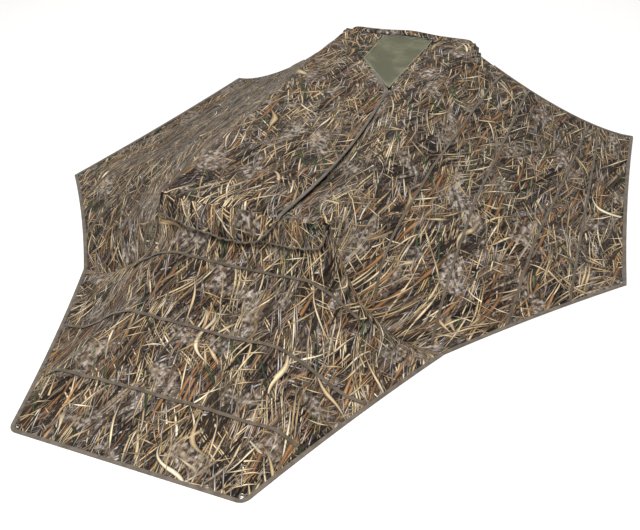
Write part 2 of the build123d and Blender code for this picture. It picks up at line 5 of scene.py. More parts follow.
import bmesh
import bpy
import numpy as np
from mathutils import Matrix, Vector, noise
from mathutils.bvhtree import BVHTree


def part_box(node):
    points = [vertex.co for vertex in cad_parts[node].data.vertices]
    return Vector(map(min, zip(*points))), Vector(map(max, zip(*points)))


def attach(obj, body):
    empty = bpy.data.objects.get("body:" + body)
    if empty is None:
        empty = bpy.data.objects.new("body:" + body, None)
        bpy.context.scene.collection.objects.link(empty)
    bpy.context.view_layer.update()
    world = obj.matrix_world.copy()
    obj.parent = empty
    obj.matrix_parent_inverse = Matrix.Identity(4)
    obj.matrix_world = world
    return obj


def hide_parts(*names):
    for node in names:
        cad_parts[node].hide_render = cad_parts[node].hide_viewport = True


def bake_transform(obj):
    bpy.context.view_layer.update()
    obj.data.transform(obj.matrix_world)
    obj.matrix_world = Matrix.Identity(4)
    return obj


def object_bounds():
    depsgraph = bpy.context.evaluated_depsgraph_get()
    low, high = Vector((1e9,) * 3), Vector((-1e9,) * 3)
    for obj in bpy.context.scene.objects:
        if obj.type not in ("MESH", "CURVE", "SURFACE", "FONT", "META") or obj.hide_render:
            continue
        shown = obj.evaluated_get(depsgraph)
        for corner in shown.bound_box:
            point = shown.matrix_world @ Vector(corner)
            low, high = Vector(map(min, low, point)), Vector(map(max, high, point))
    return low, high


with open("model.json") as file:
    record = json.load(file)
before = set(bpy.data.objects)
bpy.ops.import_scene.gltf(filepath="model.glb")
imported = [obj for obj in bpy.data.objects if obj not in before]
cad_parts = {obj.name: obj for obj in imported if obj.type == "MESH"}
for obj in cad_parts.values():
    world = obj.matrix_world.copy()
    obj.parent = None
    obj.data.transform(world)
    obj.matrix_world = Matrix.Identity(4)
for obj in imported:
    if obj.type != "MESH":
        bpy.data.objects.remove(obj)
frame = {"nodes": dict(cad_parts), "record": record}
cad_box = [list(corner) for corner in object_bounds()]

# ---------------------------------------------------------------- places read from the frame
FOOT_Y = cad_box[0][1]
HEAD_Y = cad_box[1][1]
WING_X = cad_box[1][0]
PANEL_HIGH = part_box("right_door_panel")[1]
DOOR_X = PANEL_HIGH.x
DOOR_REAR = PANEL_HIGH.y
DOOR_TOP = PANEL_HIGH.z
LIP_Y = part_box("left_door_lip")[0].y
FLAP_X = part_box("left_door_flap")[1].x
BAND_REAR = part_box("hood_band")[1].y - 0.014
NET_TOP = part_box("screen_border")[1].z - 0.008

# ---------------------------------------------------------------- cloth outline, right side
FOOT_CORNER = (0.372, FOOT_Y)
WAIST = (0.650, FOOT_Y + 0.765)
WING_FRONT = (WING_X, FOOT_Y + 1.325)
WING_REAR = (0.912, HEAD_Y)
TAPE_WIDTH = 0.013
FOOT_ROUND = 0.026
HEM_IN = 0.004
SCALLOP = 0.010
SKIN = 0.0011

# window between the doors
APEX_Y = FOOT_Y + 1.718
NOTCH = [(-0.004, FOOT_Y + 1.848), (-0.095, FOOT_Y + 1.960), (-0.106, DOOR_REAR)]
WINDOW_RIGHT = 0.108


# ---------------------------------------------------------------- shader graph helper
class Graph:
    """Short way to add and link shader nodes in one material."""

    def __init__(self, name):
        self.material = bpy.data.materials.new(name)
        self.material.use_nodes = True
        self.tree = self.material.node_tree
        self.tree.nodes.clear()

    def add(self, kind, inputs=None, **settings):
        node = self.tree.nodes.new("ShaderNode" + kind)
        for key, value in settings.items():
            setattr(node, key, value)
        for key, value in (inputs or {}).items():
            if isinstance(value, bpy.types.NodeSocket):
                self.tree.links.new(value, node.inputs[key])
            else:
                node.inputs[key].default_value = value
        return node

    def math(self, operation, a, b=0.0, clamp=False):
        return self.add("Math", {0: a, 1: b}, operation=operation, use_clamp=clamp).outputs[0]

    def vector(self, operation, a, b):
        return self.add("VectorMath", {0: a, 1: b}, operation=operation).outputs[0]

    def span(self, value, low, high, out_low=0.0, out_high=1.0):
        """Value mapped smoothly from low..high to out_low..out_high."""
        names = {"Value": value, "From Min": low, "From Max": high,
                 "To Min": out_low, "To Max": out_high}
        return self.add("MapRange", names, interpolation_type="SMOOTHSTEP").outputs[0]

    def cloth_place(self):
        """Flat place on the cloth, in metres."""
        return self.add("UVMap", uv_map="cloth").outputs[0]

    def cloud(self, place, scale, detail, **more):
        """Flat noise; more names other inputs."""
        inputs = {"Vector": place, "Scale": scale, "Detail": detail, **more}
        return self.add("TexNoise", inputs, noise_dimensions="2D").outputs[0]

    def mix(self, share, a, b, blend="MIX"):
        node = self.add("Mix", data_type="RGBA", blend_type=blend)
        for index, value in ((0, share), (6, a), (7, b)):
            if isinstance(value, bpy.types.NodeSocket):
                self.tree.links.new(value, node.inputs[index])
            else:
                node.inputs[index].default_value = value
        return node.outputs[2]

    def ramp(self, value, colours, sharp=False):
        """Evenly spaced colours along 0..1."""
        node = self.add("ValToRGB", {0: value})
        ramp = node.color_ramp
        ramp.interpolation = "CONSTANT" if sharp else "LINEAR"
        steps = len(colours) if sharp else len(colours) - 1
        while len(ramp.elements) < len(colours):
            ramp.elements.new(0.5)
        for index, colour in enumerate(colours):
            ramp.elements[index].position = index / steps
            ramp.elements[index].color = rgb(colour)
        return node.outputs[0]

    def finish(self, colour, roughness, bump=None, strength=0.3, distance=0.001, **uniform):
        inputs = {"Base Color": colour, "Roughness": roughness}
        if bump is not None:
            inputs["Normal"] = self.add("Bump", {"Height": bump, "Strength": strength,
                                                 "Distance": distance}).outputs[0]
        shader = self.add("BsdfPrincipled", inputs)
        for key, value in uniform.items():
            shader.inputs[key.replace("_", " ")].default_value = value
        self.add("OutputMaterial", {0: shader.outputs[0]})
        return self.material


def rgb(text):
    """Linear colour from six hex digits."""
    parts = [int(text[i:i + 2], 16) / 255 for i in (0, 2, 4)]
    return [((c + 0.055) / 1.055) ** 2.4 if c > 0.04045 else c / 12.92 for c in parts] + [1.0]


# ---------------------------------------------------------------- printed reed cloth
DARKS = ["120e0c", "221b17", "312822", "40362e", "1a1512"]
MIDS = ["463b31", "6e5d4e", "594b3f", "83725f", "988974"]
STRAWS = ["8d7657", "b39b78", "d0bc99", "a2875f", "e3d5b8"]
RUSTS = ["6a4c36", "8f6845", "7a573b", "b18a60"]
GREENS = ["27321f", "38472c", "4f5b3c"]
GREYS = ["6b615c", "948b86", "b9b0aa", "544b46"]

# turn (degrees), cells across and along per metre, half width, share, bend (m), tones
BLADE_LAYERS = [
    (16, 120, 5.0, 0.60, 0.70, 0.040, DARKS),
    (-14, 150, 6.0, 0.56, 0.55, 0.040, MIDS),
    (62, 110, 8.0, 0.46, 0.45, 0.040, GREYS),
    (-26, 105, 3.6, 0.50, 0.50, 0.050, MIDS),
    (30, 115, 4.0, 0.50, 0.50, 0.040, DARKS),
    (6, 125, 3.4, 0.46, 0.42, 0.035, RUSTS),
    (-40, 130, 6.0, 0.40, 0.35, 0.050, STRAWS),
    (20, 110, 3.6, 0.46, 0.45, 0.040, MIDS),
    (-8, 135, 3.6, 0.40, 0.42, 0.035, STRAWS),
    (12, 80, 2.6, 0.46, 0.34, 0.030, DARKS),
    (-20, 95, 2.8, 0.36, 0.30, 0.040, STRAWS),
    (-34, 75, 3.0, 0.34, 0.16, 0.040, GREENS),
    (2, 60, 2.4, 0.40, 0.24, 0.025, RUSTS),
    (28, 100, 3.0, 0.34, 0.30, 0.040, STRAWS),
    (70, 100, 5.0, 0.26, 0.22, 0.060, STRAWS),
    (-16, 150, 5.0, 0.32, 0.30, 0.030, GREYS),
    (-38, 40, 2.4, 0.28, 0.16, 0.110, STRAWS),
]


def blade_layer(g, place, layer, number):
    """Scattered pointed blades: a mask, the shadow round them and a colour."""
    turn, across, along, half, share, bend, tones = layer
    turned = g.add("Mapping", {"Vector": place, "Rotation": (0, 0, radians(turn)),
                               "Location": (number * 1.37, number * 2.11, 0)}).outputs[0]
    drift = g.add("TexNoise", {"Vector": turned, "Scale": 4.0, "Detail": 0.0},
                  noise_dimensions="2D").outputs["Color"]
    drift = g.vector("SUBTRACT", drift, (0.5, 0.5, 0.5))
    bent = g.vector("ADD", turned, g.vector("MULTIPLY", drift, (bend * 2, 0, 0)))
    cells = g.vector("MULTIPLY", bent, (across, along, 1))
    blade = g.add("TexVoronoi", {"Vector": cells, "Scale": 1.0}, voronoi_dimensions="2D",
                  distance="MANHATTAN")
    dice = g.add("SeparateColor", {0: blade.outputs["Color"]})
    near = blade.outputs["Distance"]
    crowd = g.cloud(turned, 5.5, 1.0)
    chance = g.span(crowd, 0.38, 0.62, share * 0.35, share * 1.45)
    here = g.math("LESS_THAN", dice.outputs[0], chance)
    mask = g.math("MULTIPLY", g.span(near, half, half * 0.8), here)
    shadow = g.math("MULTIPLY", g.span(near, half * 1.7, half * 0.9, 0.0, 0.62), here)
    tone = g.ramp(dice.outputs[1], tones)
    shade = g.span(near, half, 0.0, 0.42, 1.15)
    return mask, shadow, g.mix(1.0, tone, shade, "MULTIPLY")


def clump_layer(g, place, spread, scale, spokes, tones, number):
    """Tufts: blades that fan out from scattered centres."""
    moved = g.add("Mapping", {"Vector": place, "Location": (number * 3.1, number * 1.7, 0)})
    tuft = g.add("TexVoronoi", {"Vector": moved.outputs[0], "Scale": scale},
                 voronoi_dimensions="2D")
    away = g.vector("SUBTRACT", moved.outputs[0], tuft.outputs["Position"])
    parts = g.add("SeparateXYZ", {0: away})
    turn = g.math("ARCTAN2", parts.outputs[0], parts.outputs[1])
    reach = g.add("VectorMath", {0: away}, operation="LENGTH").outputs["Value"]
    dice = g.add("SeparateColor", {0: tuft.outputs["Color"]})
    fan = g.add("CombineXYZ", {0: g.math("MULTIPLY", turn, spokes),
                               1: g.math("MULTIPLY", reach, 5.0),
                               2: g.math("MULTIPLY", dice.outputs[2], 40.0)}).outputs[0]
    blade = g.add("TexVoronoi", {"Vector": fan, "Scale": 1.0}, distance="MANHATTAN")
    pick = g.add("SeparateColor", {0: blade.outputs["Color"]})
    shape = g.span(blade.outputs["Distance"], 0.42, 0.34)
    inside = g.span(reach, spread, spread * 0.55)
    some = g.math("LESS_THAN", pick.outputs[0], 0.62)
    mask = g.math("MULTIPLY", g.math("MULTIPLY", shape, inside), some)
    mask = g.math("MULTIPLY", mask, g.math("LESS_THAN", dice.outputs[0], 0.7))
    shade = g.span(blade.outputs["Distance"], 0.42, 0.0, 0.55, 1.1)
    return mask, g.mix(1.0, g.ramp(pick.outputs[1], tones), shade, "MULTIPLY")


def weave(g, place, period):
    """Plain weave height, one bump for each crossing."""
    waves = []
    for direction in ("X", "Y"):
        wave = g.add("TexWave", {"Vector": place, "Scale": 0.314 / period, "Distortion": 0.4,
                                 "Detail": 1.0}, bands_direction=direction)
        waves.append(wave.outputs["Fac"])
    return g.math("MULTIPLY", waves[0], waves[1])


def camo_material():
    """Printed reeds and grass on a matt cloth."""
    g = Graph("reed_print_cloth")
    place = g.cloth_place()
    cloudy = g.cloud(place, 16.0, 6.0, Roughness=0.65)
    colour = g.ramp(g.span(cloudy, 0.32, 0.70), ["1a1512", "4a3f36", "786c62", "9c928b"])
    patch = g.cloud(place, 7.0, 3.0)
    fleck = g.cloud(place, 60.0, 5.0)
    pale = g.ramp(g.span(fleck, 0.34, 0.64), ["3a3029", "786c61", "b3a89e"])
    colour = g.mix(g.span(patch, 0.52, 0.64), colour, pale)
    cover = g.span(patch, 0.55, 0.66, 1.0, 0.35)
    for number, layer in enumerate(BLADE_LAYERS):
        mask, shadow, tone = blade_layer(g, place, layer, number)
        if number > 4:
            mask = g.math("MULTIPLY", mask, cover)
            shadow = g.math("MULTIPLY", shadow, cover)
        colour = g.mix(shadow, colour, rgb("0c0a08"))
        colour = g.mix(mask, colour, tone)
        if number == 4:
            colour = g.mix(g.span(patch, 0.58, 0.68, 0.0, 0.75), colour, pale)
        if number == 8:
            mask, tone = clump_layer(g, place, 0.15, 2.6, 4.2, RUSTS + STRAWS, 2)
            colour = g.mix(mask, colour, tone)
    mask, tone = clump_layer(g, place, 0.12, 3.1, 5.0, STRAWS, 5)
    colour = g.mix(mask, colour, tone)
    dust = g.cloud(place, 260.0, 2.0)
    colour = g.mix(1.0, colour, g.span(dust, 0.2, 0.8, 0.82, 1.12), "MULTIPLY")
    threads = weave(g, place, 0.0012)
    rough = g.span(cloudy, 0.3, 0.7, 0.80, 0.92)
    return g.finish(colour, rough, threads, 0.25, 0.0004, Sheen_Weight=0.02,
                    Sheen_Roughness=0.5, Specular_IOR_Level=0.12)


def woven_material(name, low, high, period, roughness=0.85, strength=0.5):
    """Plain dyed cloth, tape or webbing, with painted shade between its threads."""
    g = Graph(name)
    place = g.cloth_place()
    threads = weave(g, place, period)
    worn = g.cloud(place, 35.0, 4.0)
    colour = g.mix(g.span(worn, 0.3, 0.7), rgb(low), rgb(high))
    # painted shade in the hollows between the threads and painted light on the thread crossings
    colour = g.mix(1.0, colour, g.span(threads, 0.0, 0.8, 0.72, 1.1), "MULTIPLY")
    rough = g.span(worn, 0.3, 0.7, roughness - 0.06, roughness + 0.06)
    return g.finish(colour, rough, threads, strength, period / 4, Sheen_Weight=0.15,
                    Specular_IOR_Level=0.25)


def net_material():
    """Fine net: threads, with painted shade for the holes between them."""
    g = Graph("window_net")
    place = g.cloth_place()
    threads = weave(g, place, 0.0022)
    cloud = g.cloud(place, 9.0, 3.0)
    colour = g.mix(g.span(cloud, 0.35, 0.65), rgb("5b5a45"), rgb("77765f"))
    # painted shade: the holes between the threads are darkened for the shaded inside seen through
    # them
    colour = g.mix(1.0, colour, g.span(threads, 0.05, 0.5, 0.70, 1.06), "MULTIPLY")
    rough = g.span(cloud, 0.3, 0.7, 0.7, 0.85)
    return g.finish(colour, rough, threads, 0.6, 0.0005, Specular_IOR_Level=0.3)


def hard_material(name, low, high, roughness, metallic, grain=(400, 400, 8), strength=0.08,
                  **uniform):
    """Metal or moulded plastic with fine grain and uneven wear."""
    g = Graph(name)
    place = g.add("TexCoord").outputs["Object"]
    lines = g.add("TexNoise", {"Vector": g.vector("MULTIPLY", place, grain), "Scale": 1.0,
                               "Detail": 3.0}).outputs[0]
    cloud = g.add("TexNoise", {"Vector": place, "Scale": 18.0, "Detail": 4.0}).outputs[0]
    colour = g.mix(g.span(cloud, 0.3, 0.7), rgb(low), rgb(high))
    colour = g.mix(1.0, colour, g.span(lines, 0.2, 0.8, 0.88, 1.08), "MULTIPLY")
    rough = g.math("ADD", g.span(lines, 0.2, 0.8, -0.06, 0.06), roughness)
    return g.finish(colour, rough, lines, strength, 0.0005, Metallic=metallic, **uniform)


camo = camo_material()
tape_cloth = woven_material("binding_tape", "5a5145", "70665a", 0.0016)
web_cloth = woven_material("strap_webbing", "524839", "685d50", 0.0024)
floor_cloth = woven_material("floor_cloth", "23231c", "2e2e25", 0.0014, 0.6)
pad_cloth = woven_material("pad_cloth", "3a3427", "4a4333", 0.0018)
net = net_material()
net_hem = woven_material("window_net_hem", "6a6a55", "84846c", 0.0016)
tube_metal = hard_material("anodised_tube", "5e5e5a", "74746f", 0.36, 1.0)
spring_metal = hard_material("spring_wire", "6f6f6d", "8a8a87", 0.30, 1.0)
ring_metal = hard_material("gunmetal_ring", "77736d", "a09b93", 0.34, 1.0)
nylon = hard_material("moulded_nylon", "0f0f0e", "1a1a18", 0.48, 0.0, (900, 900, 900), 0.2,
                      Specular_IOR_Level=0.45)


# ---------------------------------------------------------------- mesh helpers
def piece(name, mesh, material):
    """Object of one mesh, smooth shaded, with the given material."""
    obj = bpy.data.objects.new(name, mesh)
    bpy.context.scene.collection.objects.link(obj)
    mesh.materials.append(material)
    for face in mesh.polygons:
        face.use_smooth = True
    return obj


def grid_piece(name, points, places, material, skin=SKIN, closed=False):
    """Cloth from a grid of points (rows x columns x 3) with flat places in metres."""
    rows, columns = points.shape[:2]
    across = columns if closed else columns - 1
    faces, corners = [], []
    for i in range(rows - 1):
        for j in range(across):
            k = (j + 1) % columns
            faces.append((i * columns + j, i * columns + k,
                          (i + 1) * columns + k, (i + 1) * columns + j))
            corners += [(i, j), (i, j + 1), (i + 1, j + 1), (i + 1, j)]
    mesh = bpy.data.meshes.new(name)
    mesh.from_pydata(points.reshape(-1, 3).tolist(), [], faces)
    layer = mesh.uv_layers.new(name="cloth")
    flat = [places[i][j] for i, j in corners]
    layer.data.foreach_set("uv", np.array(flat, float).ravel())
    obj = piece(name, mesh, material)
    if skin:
        solid = obj.modifiers.new("skin", "SOLIDIFY")
        solid.thickness = skin
        solid.offset = -1
    return obj


def smooth(values, times, along=True):
    """Rounds the folds of a grid and leaves its rim where it is."""
    out = values.copy()
    for _ in range(times):
        ring = out.copy()
        ring[:, 1:-1] = (out[:, :-2] + 2 * out[:, 1:-1] + out[:, 2:]) / 4
        if along:
            ring[1:-1] = (ring[:-2] + 2 * ring[1:-1] + ring[2:]) / 4
        ring[0], ring[-1] = out[0], out[-1]
        ring[:, 0], ring[:, -1] = out[:, 0], out[:, -1]
        out = ring
    return out


def wave(x, y, size, seed, stretch=1.0):
    """Soft noise, about -1 to 1, with waves of that size; stretch lengthens them along Y."""
    return noise.noise(Vector((x / size, y / (size * stretch), seed * 7.3)))


def ripple(points, amounts, size, seed, stretch=1.0, turn=0.0):
    """Lifts and lowers a grid by soft noise."""
    c, s = cos(turn), sin(turn)
    for i in range(points.shape[0]):
        for j in range(points.shape[1]):
            if amounts[i, j] > 1e-6:
                x, y = points[i, j, 0], points[i, j, 1]
                lift = wave(x * c - y * s, x * s + y * c, size, seed, stretch)
                points[i, j, 2] += amounts[i, j] * lift


def crumple(points, amounts, folds, seed=0):
    """Several sizes of fold, each by share of the amounts, size, seed, stretch and turn."""
    for share, size, fold_seed, stretch, turn in folds:
        ripple(points, amounts * share, size, fold_seed + seed, stretch, turn)


def run_along(line):
    """Length from the start of a line to each of its points."""
    steps = np.linalg.norm(np.diff(line, axis=0), axis=1)
    return np.concatenate([[0], np.cumsum(steps)])


def units(vectors):
    """The same vectors, each with a length of 1."""
    return vectors / np.linalg.norm(vectors, axis=1, keepdims=True)


def arc_places(points, shift=(0, 0), anchor=0):
    """Flat places of a grid: length along each row from its anchor column, and along Y."""
    steps = np.linalg.norm(np.diff(points, axis=1), axis=2)
    run = np.concatenate([np.zeros((points.shape[0], 1)), np.cumsum(steps, axis=1)], axis=1)
    run -= run[:, anchor:anchor + 1]
    far = run_along(points[:, anchor])
    return [[(shift[0] + run[i, j], shift[1] + far[i]) for j in range(points.shape[1])]
            for i in range(points.shape[0])]


def band_piece(name, line, side, up, width, thick, material):
    """Flat tape along a line: side and up are unit vectors, or one for each point."""
    line = np.array(line, float)
    side = np.broadcast_to(np.array(side, float), line.shape)
    up = np.broadcast_to(np.array(up, float), line.shape)
    half, rise = width / 2, thick / 2
    section = [(-half, -rise * 0.4), (-half * 0.86, -rise), (half * 0.86, -rise),
               (half, -rise * 0.4), (half, rise * 0.4), (half * 0.86, rise),
               (0, rise * 1.15), (-half * 0.86, rise), (-half, rise * 0.4)]
    rows = [[p + s * a + u * b for a, b in section] for p, s, u in zip(line, side, up)]
    round_it = np.linspace(0, 2 * (width + thick), len(section) + 1)
    places = [[(r, d) for r in round_it] for d in run_along(line)]
    obj = grid_piece(name, np.array(rows), places, material, skin=0, closed=True)
    count = len(section)
    total = len(line) * count
    cap_ends(obj.data, [list(range(count))[::-1], list(range(total - count, total))])
    return obj


def cap_ends(mesh, rings):
    """Closes the ends of a tape."""
    bm = bmesh.new()
    bm.from_mesh(mesh)
    bm.verts.ensure_lookup_table()
    for ring in rings:
        bm.faces.new([bm.verts[i] for i in ring])
    bmesh.ops.recalc_face_normals(bm, faces=bm.faces)
    bm.to_mesh(mesh)
    bm.free()


def join(name, pieces):
    """One piece from several that share a material."""
    bpy.ops.object.select_all(action="DESELECT")
    for obj in pieces:
        obj.select_set(True)
    bpy.context.view_layer.objects.active = pieces[0]
    bpy.ops.object.join()
    pieces[0].name = name
    return pieces[0]


def lerp(a, b, t):
    """Point between a and b."""
    return tuple(p + (q - p) * t for p, q in zip(a, b))


# ---------------------------------------------------------------- shape of the cover
SIDE_TOP_X = DOOR_X + 0.004
SIDE_TOP_Z = DOOR_TOP - 0.008
SIDE_SAG = 1.42
SEAM_SAG = 3.8
HEAD_DROP = 0.030
FRONT_Y = FOOT_Y + 0.772
REAR_Y = FOOT_Y + 2.235
CORNER_SHARE = 0.4


def hem_spot(share):
    """Point of the wing's hem, from the waist to the rear corner, slightly scalloped."""
    if share < CORNER_SHARE:
        a, b, t = WAIST, WING_FRONT, share / CORNER_SHARE
    else:
        a, b, t = WING_FRONT, WING_REAR, (share - CORNER_SHARE) / (1 - CORNER_SHARE)
    x, y = lerp(a, b, t)
    dx, dy = b[0] - a[0], b[1] - a[1]
    size = hypot(dx, dy)
    inwards = (HEM_IN + SCALLOP * 4 * t * (1 - t))
    return x - dy / size * inwards, y + dx / size * inwards


def wing_z(t, share):
    """Height of the wing: it sags more beside the foot cover, and is sewn lower at the head."""
    sag = SIDE_SAG + (SEAM_SAG - SIDE_SAG) * np.exp(-(share / 0.045) ** 1.3)
    near = min(max((share - 0.84) / 0.16, 0), 1)
    top = SIDE_TOP_Z - HEAD_DROP * near * near
    return SKIN + 0.001 + (top - SKIN) * (1 - t) ** sag


def droop(y):
    """How far the doors' lapped edges hang below the door tops."""
    t = min(max((y - LIP_Y) / (APEX_Y - LIP_Y), 0), 1)
    return 0.016 - 0.008 * t + 0.027 * sin(pi * t)


def free_edge(y):
    """X of the left door's free edge, from the front to the window and round its notch."""
    if y <= APEX_Y:
        t = min(max((y - LIP_Y) / (APEX_Y - LIP_Y), 0), 1)
        return FLAP_X + 0.016 * (1 - t ** 3) + 0.010 * sin(pi * t)
    edge = [(FLAP_X, APEX_Y)] + NOTCH
    for (ax, ay), (bx, by) in zip(edge, edge[1:]):
        if y <= by + 1e-9:
            return ax + (bx - ax) * (y - ay) / (by - ay)
    return edge[-1][0]


FALL_X = 0.010
FRONT_ROLL = 0.030
LAP_GAP = 0.0048


def left_z(x, y):
    """Top of the left door, with its lap hanging down on the right door."""
    base = DOOR_TOP + 0.0035
    span = min(max((x + SIDE_TOP_X) / (SIDE_TOP_X - 0.02), 0), 1)
    base -= 0.006 * sin(pi * span)
    if x > FALL_X:
        base -= droop(y) * ((x - FALL_X) / (free_edge(min(y, APEX_Y)) - FALL_X)) ** 1.25
    return base


def right_z(x, y):
    """Top of the right door: just under the lap, then rising to the hinge."""
    if y > APEX_Y:
        start = WINDOW_RIGHT
        low = DOOR_TOP - 0.009 + 0.012 * min((y - APEX_Y) / 0.09, 1)
    else:
        start = free_edge(y) - 0.004
        t = (y - LIP_Y) / (APEX_Y - LIP_Y)
        low = left_z(start, y) - LAP_GAP - 0.018 * sin(pi * t ** 0.7)
        if x <= start:
            near = max(0, (x - 0.05) / (start - 0.05))
            return left_z(x, y) - LAP_GAP - 0.018 * sin(pi * t ** 0.7) * near
    t = min((x - start) / (SIDE_TOP_X - 0.012 - start), 1)
    return low + (DOOR_TOP + 0.0035 - low) * t ** 0.65


DOOR_COLUMNS = 46
SKIRT_COLUMNS = 96
COVER_FOLDS = ((1.0, 0.30, 1, 2.2, 0.0), (0.45, 0.10, 5, 2.5, 0.5), (0.22, 0.045, 9, 1.5, -0.6))


def cover_side(name, side):
    """Door top and wing skirt of one side, one cloth over the hinge rail."""
    door_steps = np.linspace(0, 1, DOOR_COLUMNS)
    skirt_steps = np.linspace(0, 1, SKIRT_COLUMNS) ** 1.05
    rows = []
    shares = list(np.linspace(0, CORNER_SHARE, 70)) + list(np.linspace(CORNER_SHARE, 1, 106))[1:]
    front = LIP_Y + 0.005 if side < 0 else LIP_Y + 0.011
    for share in shares:
        y = front + (DOOR_REAR - front) * share
        row = []
        if side < 0:
            start = min(free_edge(y), -0.004)
        else:
            start = 0.004 if y < APEX_Y - 0.015 else WINDOW_RIGHT
        for t in door_steps:
            x = start + (side * (SIDE_TOP_X - 0.012) - start) * t
            row.append((x, y, left_z(x, y) if side < 0 else right_z(x, y)))
        inner_y = FRONT_Y + (REAR_Y - FRONT_Y) * share
        hx, hy = hem_spot(share)
        for t in skirt_steps:
            x, yy = lerp((SIDE_TOP_X, inner_y), (hx, hy), t)
            row.append((side * x, yy, wing_z(t, share)))
        rows.append(row)
    points = np.array(rows)
    count = DOOR_COLUMNS
    points[:, count - 1:count + 8, 2] = smooth(points[:, count - 6:count + 14, 2], 3,
                                               along=False)[:, 5:14]
    for i in range(len(shares)):
        close = max(0.0, 1 - (points[i, 0, 1] - front) / FRONT_ROLL)
        points[i, :count - 2, 2] -= 0.009 * close ** 2
    amounts = np.zeros(points.shape[:2])
    for i, share in enumerate(shares):
        rim = min(1, share * 14, (1 - share) * 14)
        for j in range(points.shape[1]):
            if j < count:
                amounts[i, j] = 0.0022 * rim * sin(pi * j / (count - 1))
            else:
                t = skirt_steps[j - count]
                amounts[i, j] = 0.011 * rim * min(1, t * 5) * min(1, (1 - t) * 7)
    crumple(points, amounts, COVER_FOLDS, side)
    points[..., 2] = np.maximum(points[..., 2], SKIN + 0.0008)
    anchor = count
    if side < 0:
        points = points[:, ::-1]
        anchor = points.shape[1] - 1 - count
    places = arc_places(points, (1.31 if side < 0 else 3.7, 0.4), anchor)
    return grid_piece(name, points, places, camo), points


def turned_up(obj):
    """The same piece, with its faces pointing up."""
    total = sum(face.normal.z * face.area for face in obj.data.polygons)
    if total < 0:
        obj.data.flip_normals()
    return obj


right_cover, right_points = cover_side("right_cover", 1)
left_cover, left_points = cover_side("left_cover", -1)
for obj in (right_cover, left_cover):
    turned_up(obj)

# the soft lap of the left door
lap_rows = []
lap_columns = np.linspace(0, 1, 22)
for y in np.linspace(LIP_Y + 0.005, NOTCH[0][1] - 0.002, 150):
    edge = max(free_edge(y), -0.0035)
    lap_rows.append([(-0.004 + (edge + 0.004) * t, y, left_z(-0.004 + (edge + 0.004) * t, y))
                     for t in lap_columns])
lap_points = np.array(lap_rows)
for row in lap_points:
    row[:, 2] -= 0.009 * max(0.0, 1 - (row[0, 1] - LIP_Y - 0.005) / FRONT_ROLL) ** 2
lap_amounts = np.outer(np.sin(np.linspace(0, pi, 150)), np.minimum(1, lap_columns * 2)) * 0.004
ripple(lap_points, lap_amounts, 0.12, 21, 1.8)
left_lap = turned_up(grid_piece("left_door_lap", lap_points,
                                arc_places(lap_points, (0.59, 0.4)), camo))

# ---------------------------------------------------------------- foot cover
# share of the way up, ridge half width, y and height from the foot, y of the hem
TABLE = [(0.0, 0.352, 0.0, 0.0, 0.0), (0.30, 0.349, 0.238, 0.053, 0.238),
         (0.60, 0.340, 0.485, 0.127, 0.485), (0.86, 0.331, 0.730, 0.204, 0.722),
         (0.93, 0.314, 0.774, 0.262, 0.748), (1.0, 0.292, 0.774, 0.372, 0.765)]


def table_at(share):
    for a, b in zip(TABLE, TABLE[1:]):
        if share <= b[0] + 1e-9:
            return lerp(a, b, (share - a[0]) / (b[0] - a[0]))
    return TABLE[-1]


def foot_hem_x(y):
    t = y / (WAIST[1] - FOOT_Y)
    return FOOT_CORNER[0] + (WAIST[0] - FOOT_CORNER[0]) * t - HEM_IN - SCALLOP * 4 * t * (1 - t)


foot_shares = np.concatenate([np.linspace(0, 0.86, 96), np.linspace(0.86, 1, 34)[1:]])
side_steps = np.linspace(1, 0, 44)
flat_steps = np.linspace(-1, 1, 76)
foot_rows = []
for share in foot_shares:
    _, half, ridge_y, ridge_z, hem_y = table_at(share)
    hem_x = foot_hem_x(hem_y)
    near_seam = min(max((share - 0.86) / 0.14, 0), 1)
    flat_half = half - 0.112 * min(max((share - 0.30) / 0.25, 0), 1) * (1 - near_seam)
    slope = []
    for t in side_steps:
        x, y = lerp((flat_half, ridge_y), (hem_x, hem_y), t)
        mixed = min(share / 0.45, 1) ** 2
        rounded = (1 - t) ** 1.2 * (1 - mixed) + (1 - t * t) ** 3 * mixed
        slope.append((x, y, ridge_z * (rounded * (1 - near_seam) +
                                       (1 - t) ** SEAM_SAG * near_seam)))
    crown = []
    for t in flat_steps:
        middle = min((1 - abs(t)) / 0.16, 1)
        middle = near_seam * middle * middle * (3 - 2 * middle)
        crown.append((flat_half * t, ridge_y + 0.016 * middle, ridge_z - 0.037 * middle))
    foot_rows.append([(-x, y, z) for x, y, z in slope] + crown[1:-1] + slope[::-1])
foot_points = np.array(foot_rows)
foot_points[..., 1] += FOOT_Y
foot_points[0, :, 1] += HEM_IN
foot_points = smooth(foot_points, 14)
# rounded foot corners, tangent to both hems
hem_run, hem_rise = foot_points[8, -1, :2] - foot_points[0, -1, :2]
hem_length = hypot(hem_run, hem_rise)
hem_run, hem_rise = hem_run / hem_length, hem_rise / hem_length
round_x = foot_points[0, -1, 0] - FOOT_ROUND * (1 - hem_run) / hem_rise
round_y = foot_points[0, -1, 1] + FOOT_ROUND
for point in foot_points.reshape(-1, 3):
    out_x, out_y = abs(point[0]) - round_x, point[1] - round_y
    reach = hypot(out_x, out_y)
    if out_x > 0 and out_x * hem_run + out_y * hem_rise < 0 and reach > FOOT_ROUND:
        point[0] = (round_x + out_x * FOOT_ROUND / reach) * (1 if point[0] > 0 else -1)
        point[1] = round_y + out_y * FOOT_ROUND / reach
amounts = np.zeros(foot_points.shape[:2])
for i, share in enumerate(foot_shares):
    rim = min(1, share * 8, max(0, 1 - share) * 8)
    for j in range(foot_points.shape[1]):
        side_rim = min(1, j / 12, (foot_points.shape[1] - 1 - j) / 12)
        amounts[i, j] = 0.010 * rim * side_rim
crumple(foot_points, amounts, ((1.0, 0.26, 31, 1.4, 0.0), (0.5, 0.09, 32, 2.0, 0.3),
                               (0.25, 0.04, 33, 1.3, -0.4)))
foot_points[..., 2] += SKIN + 0.001
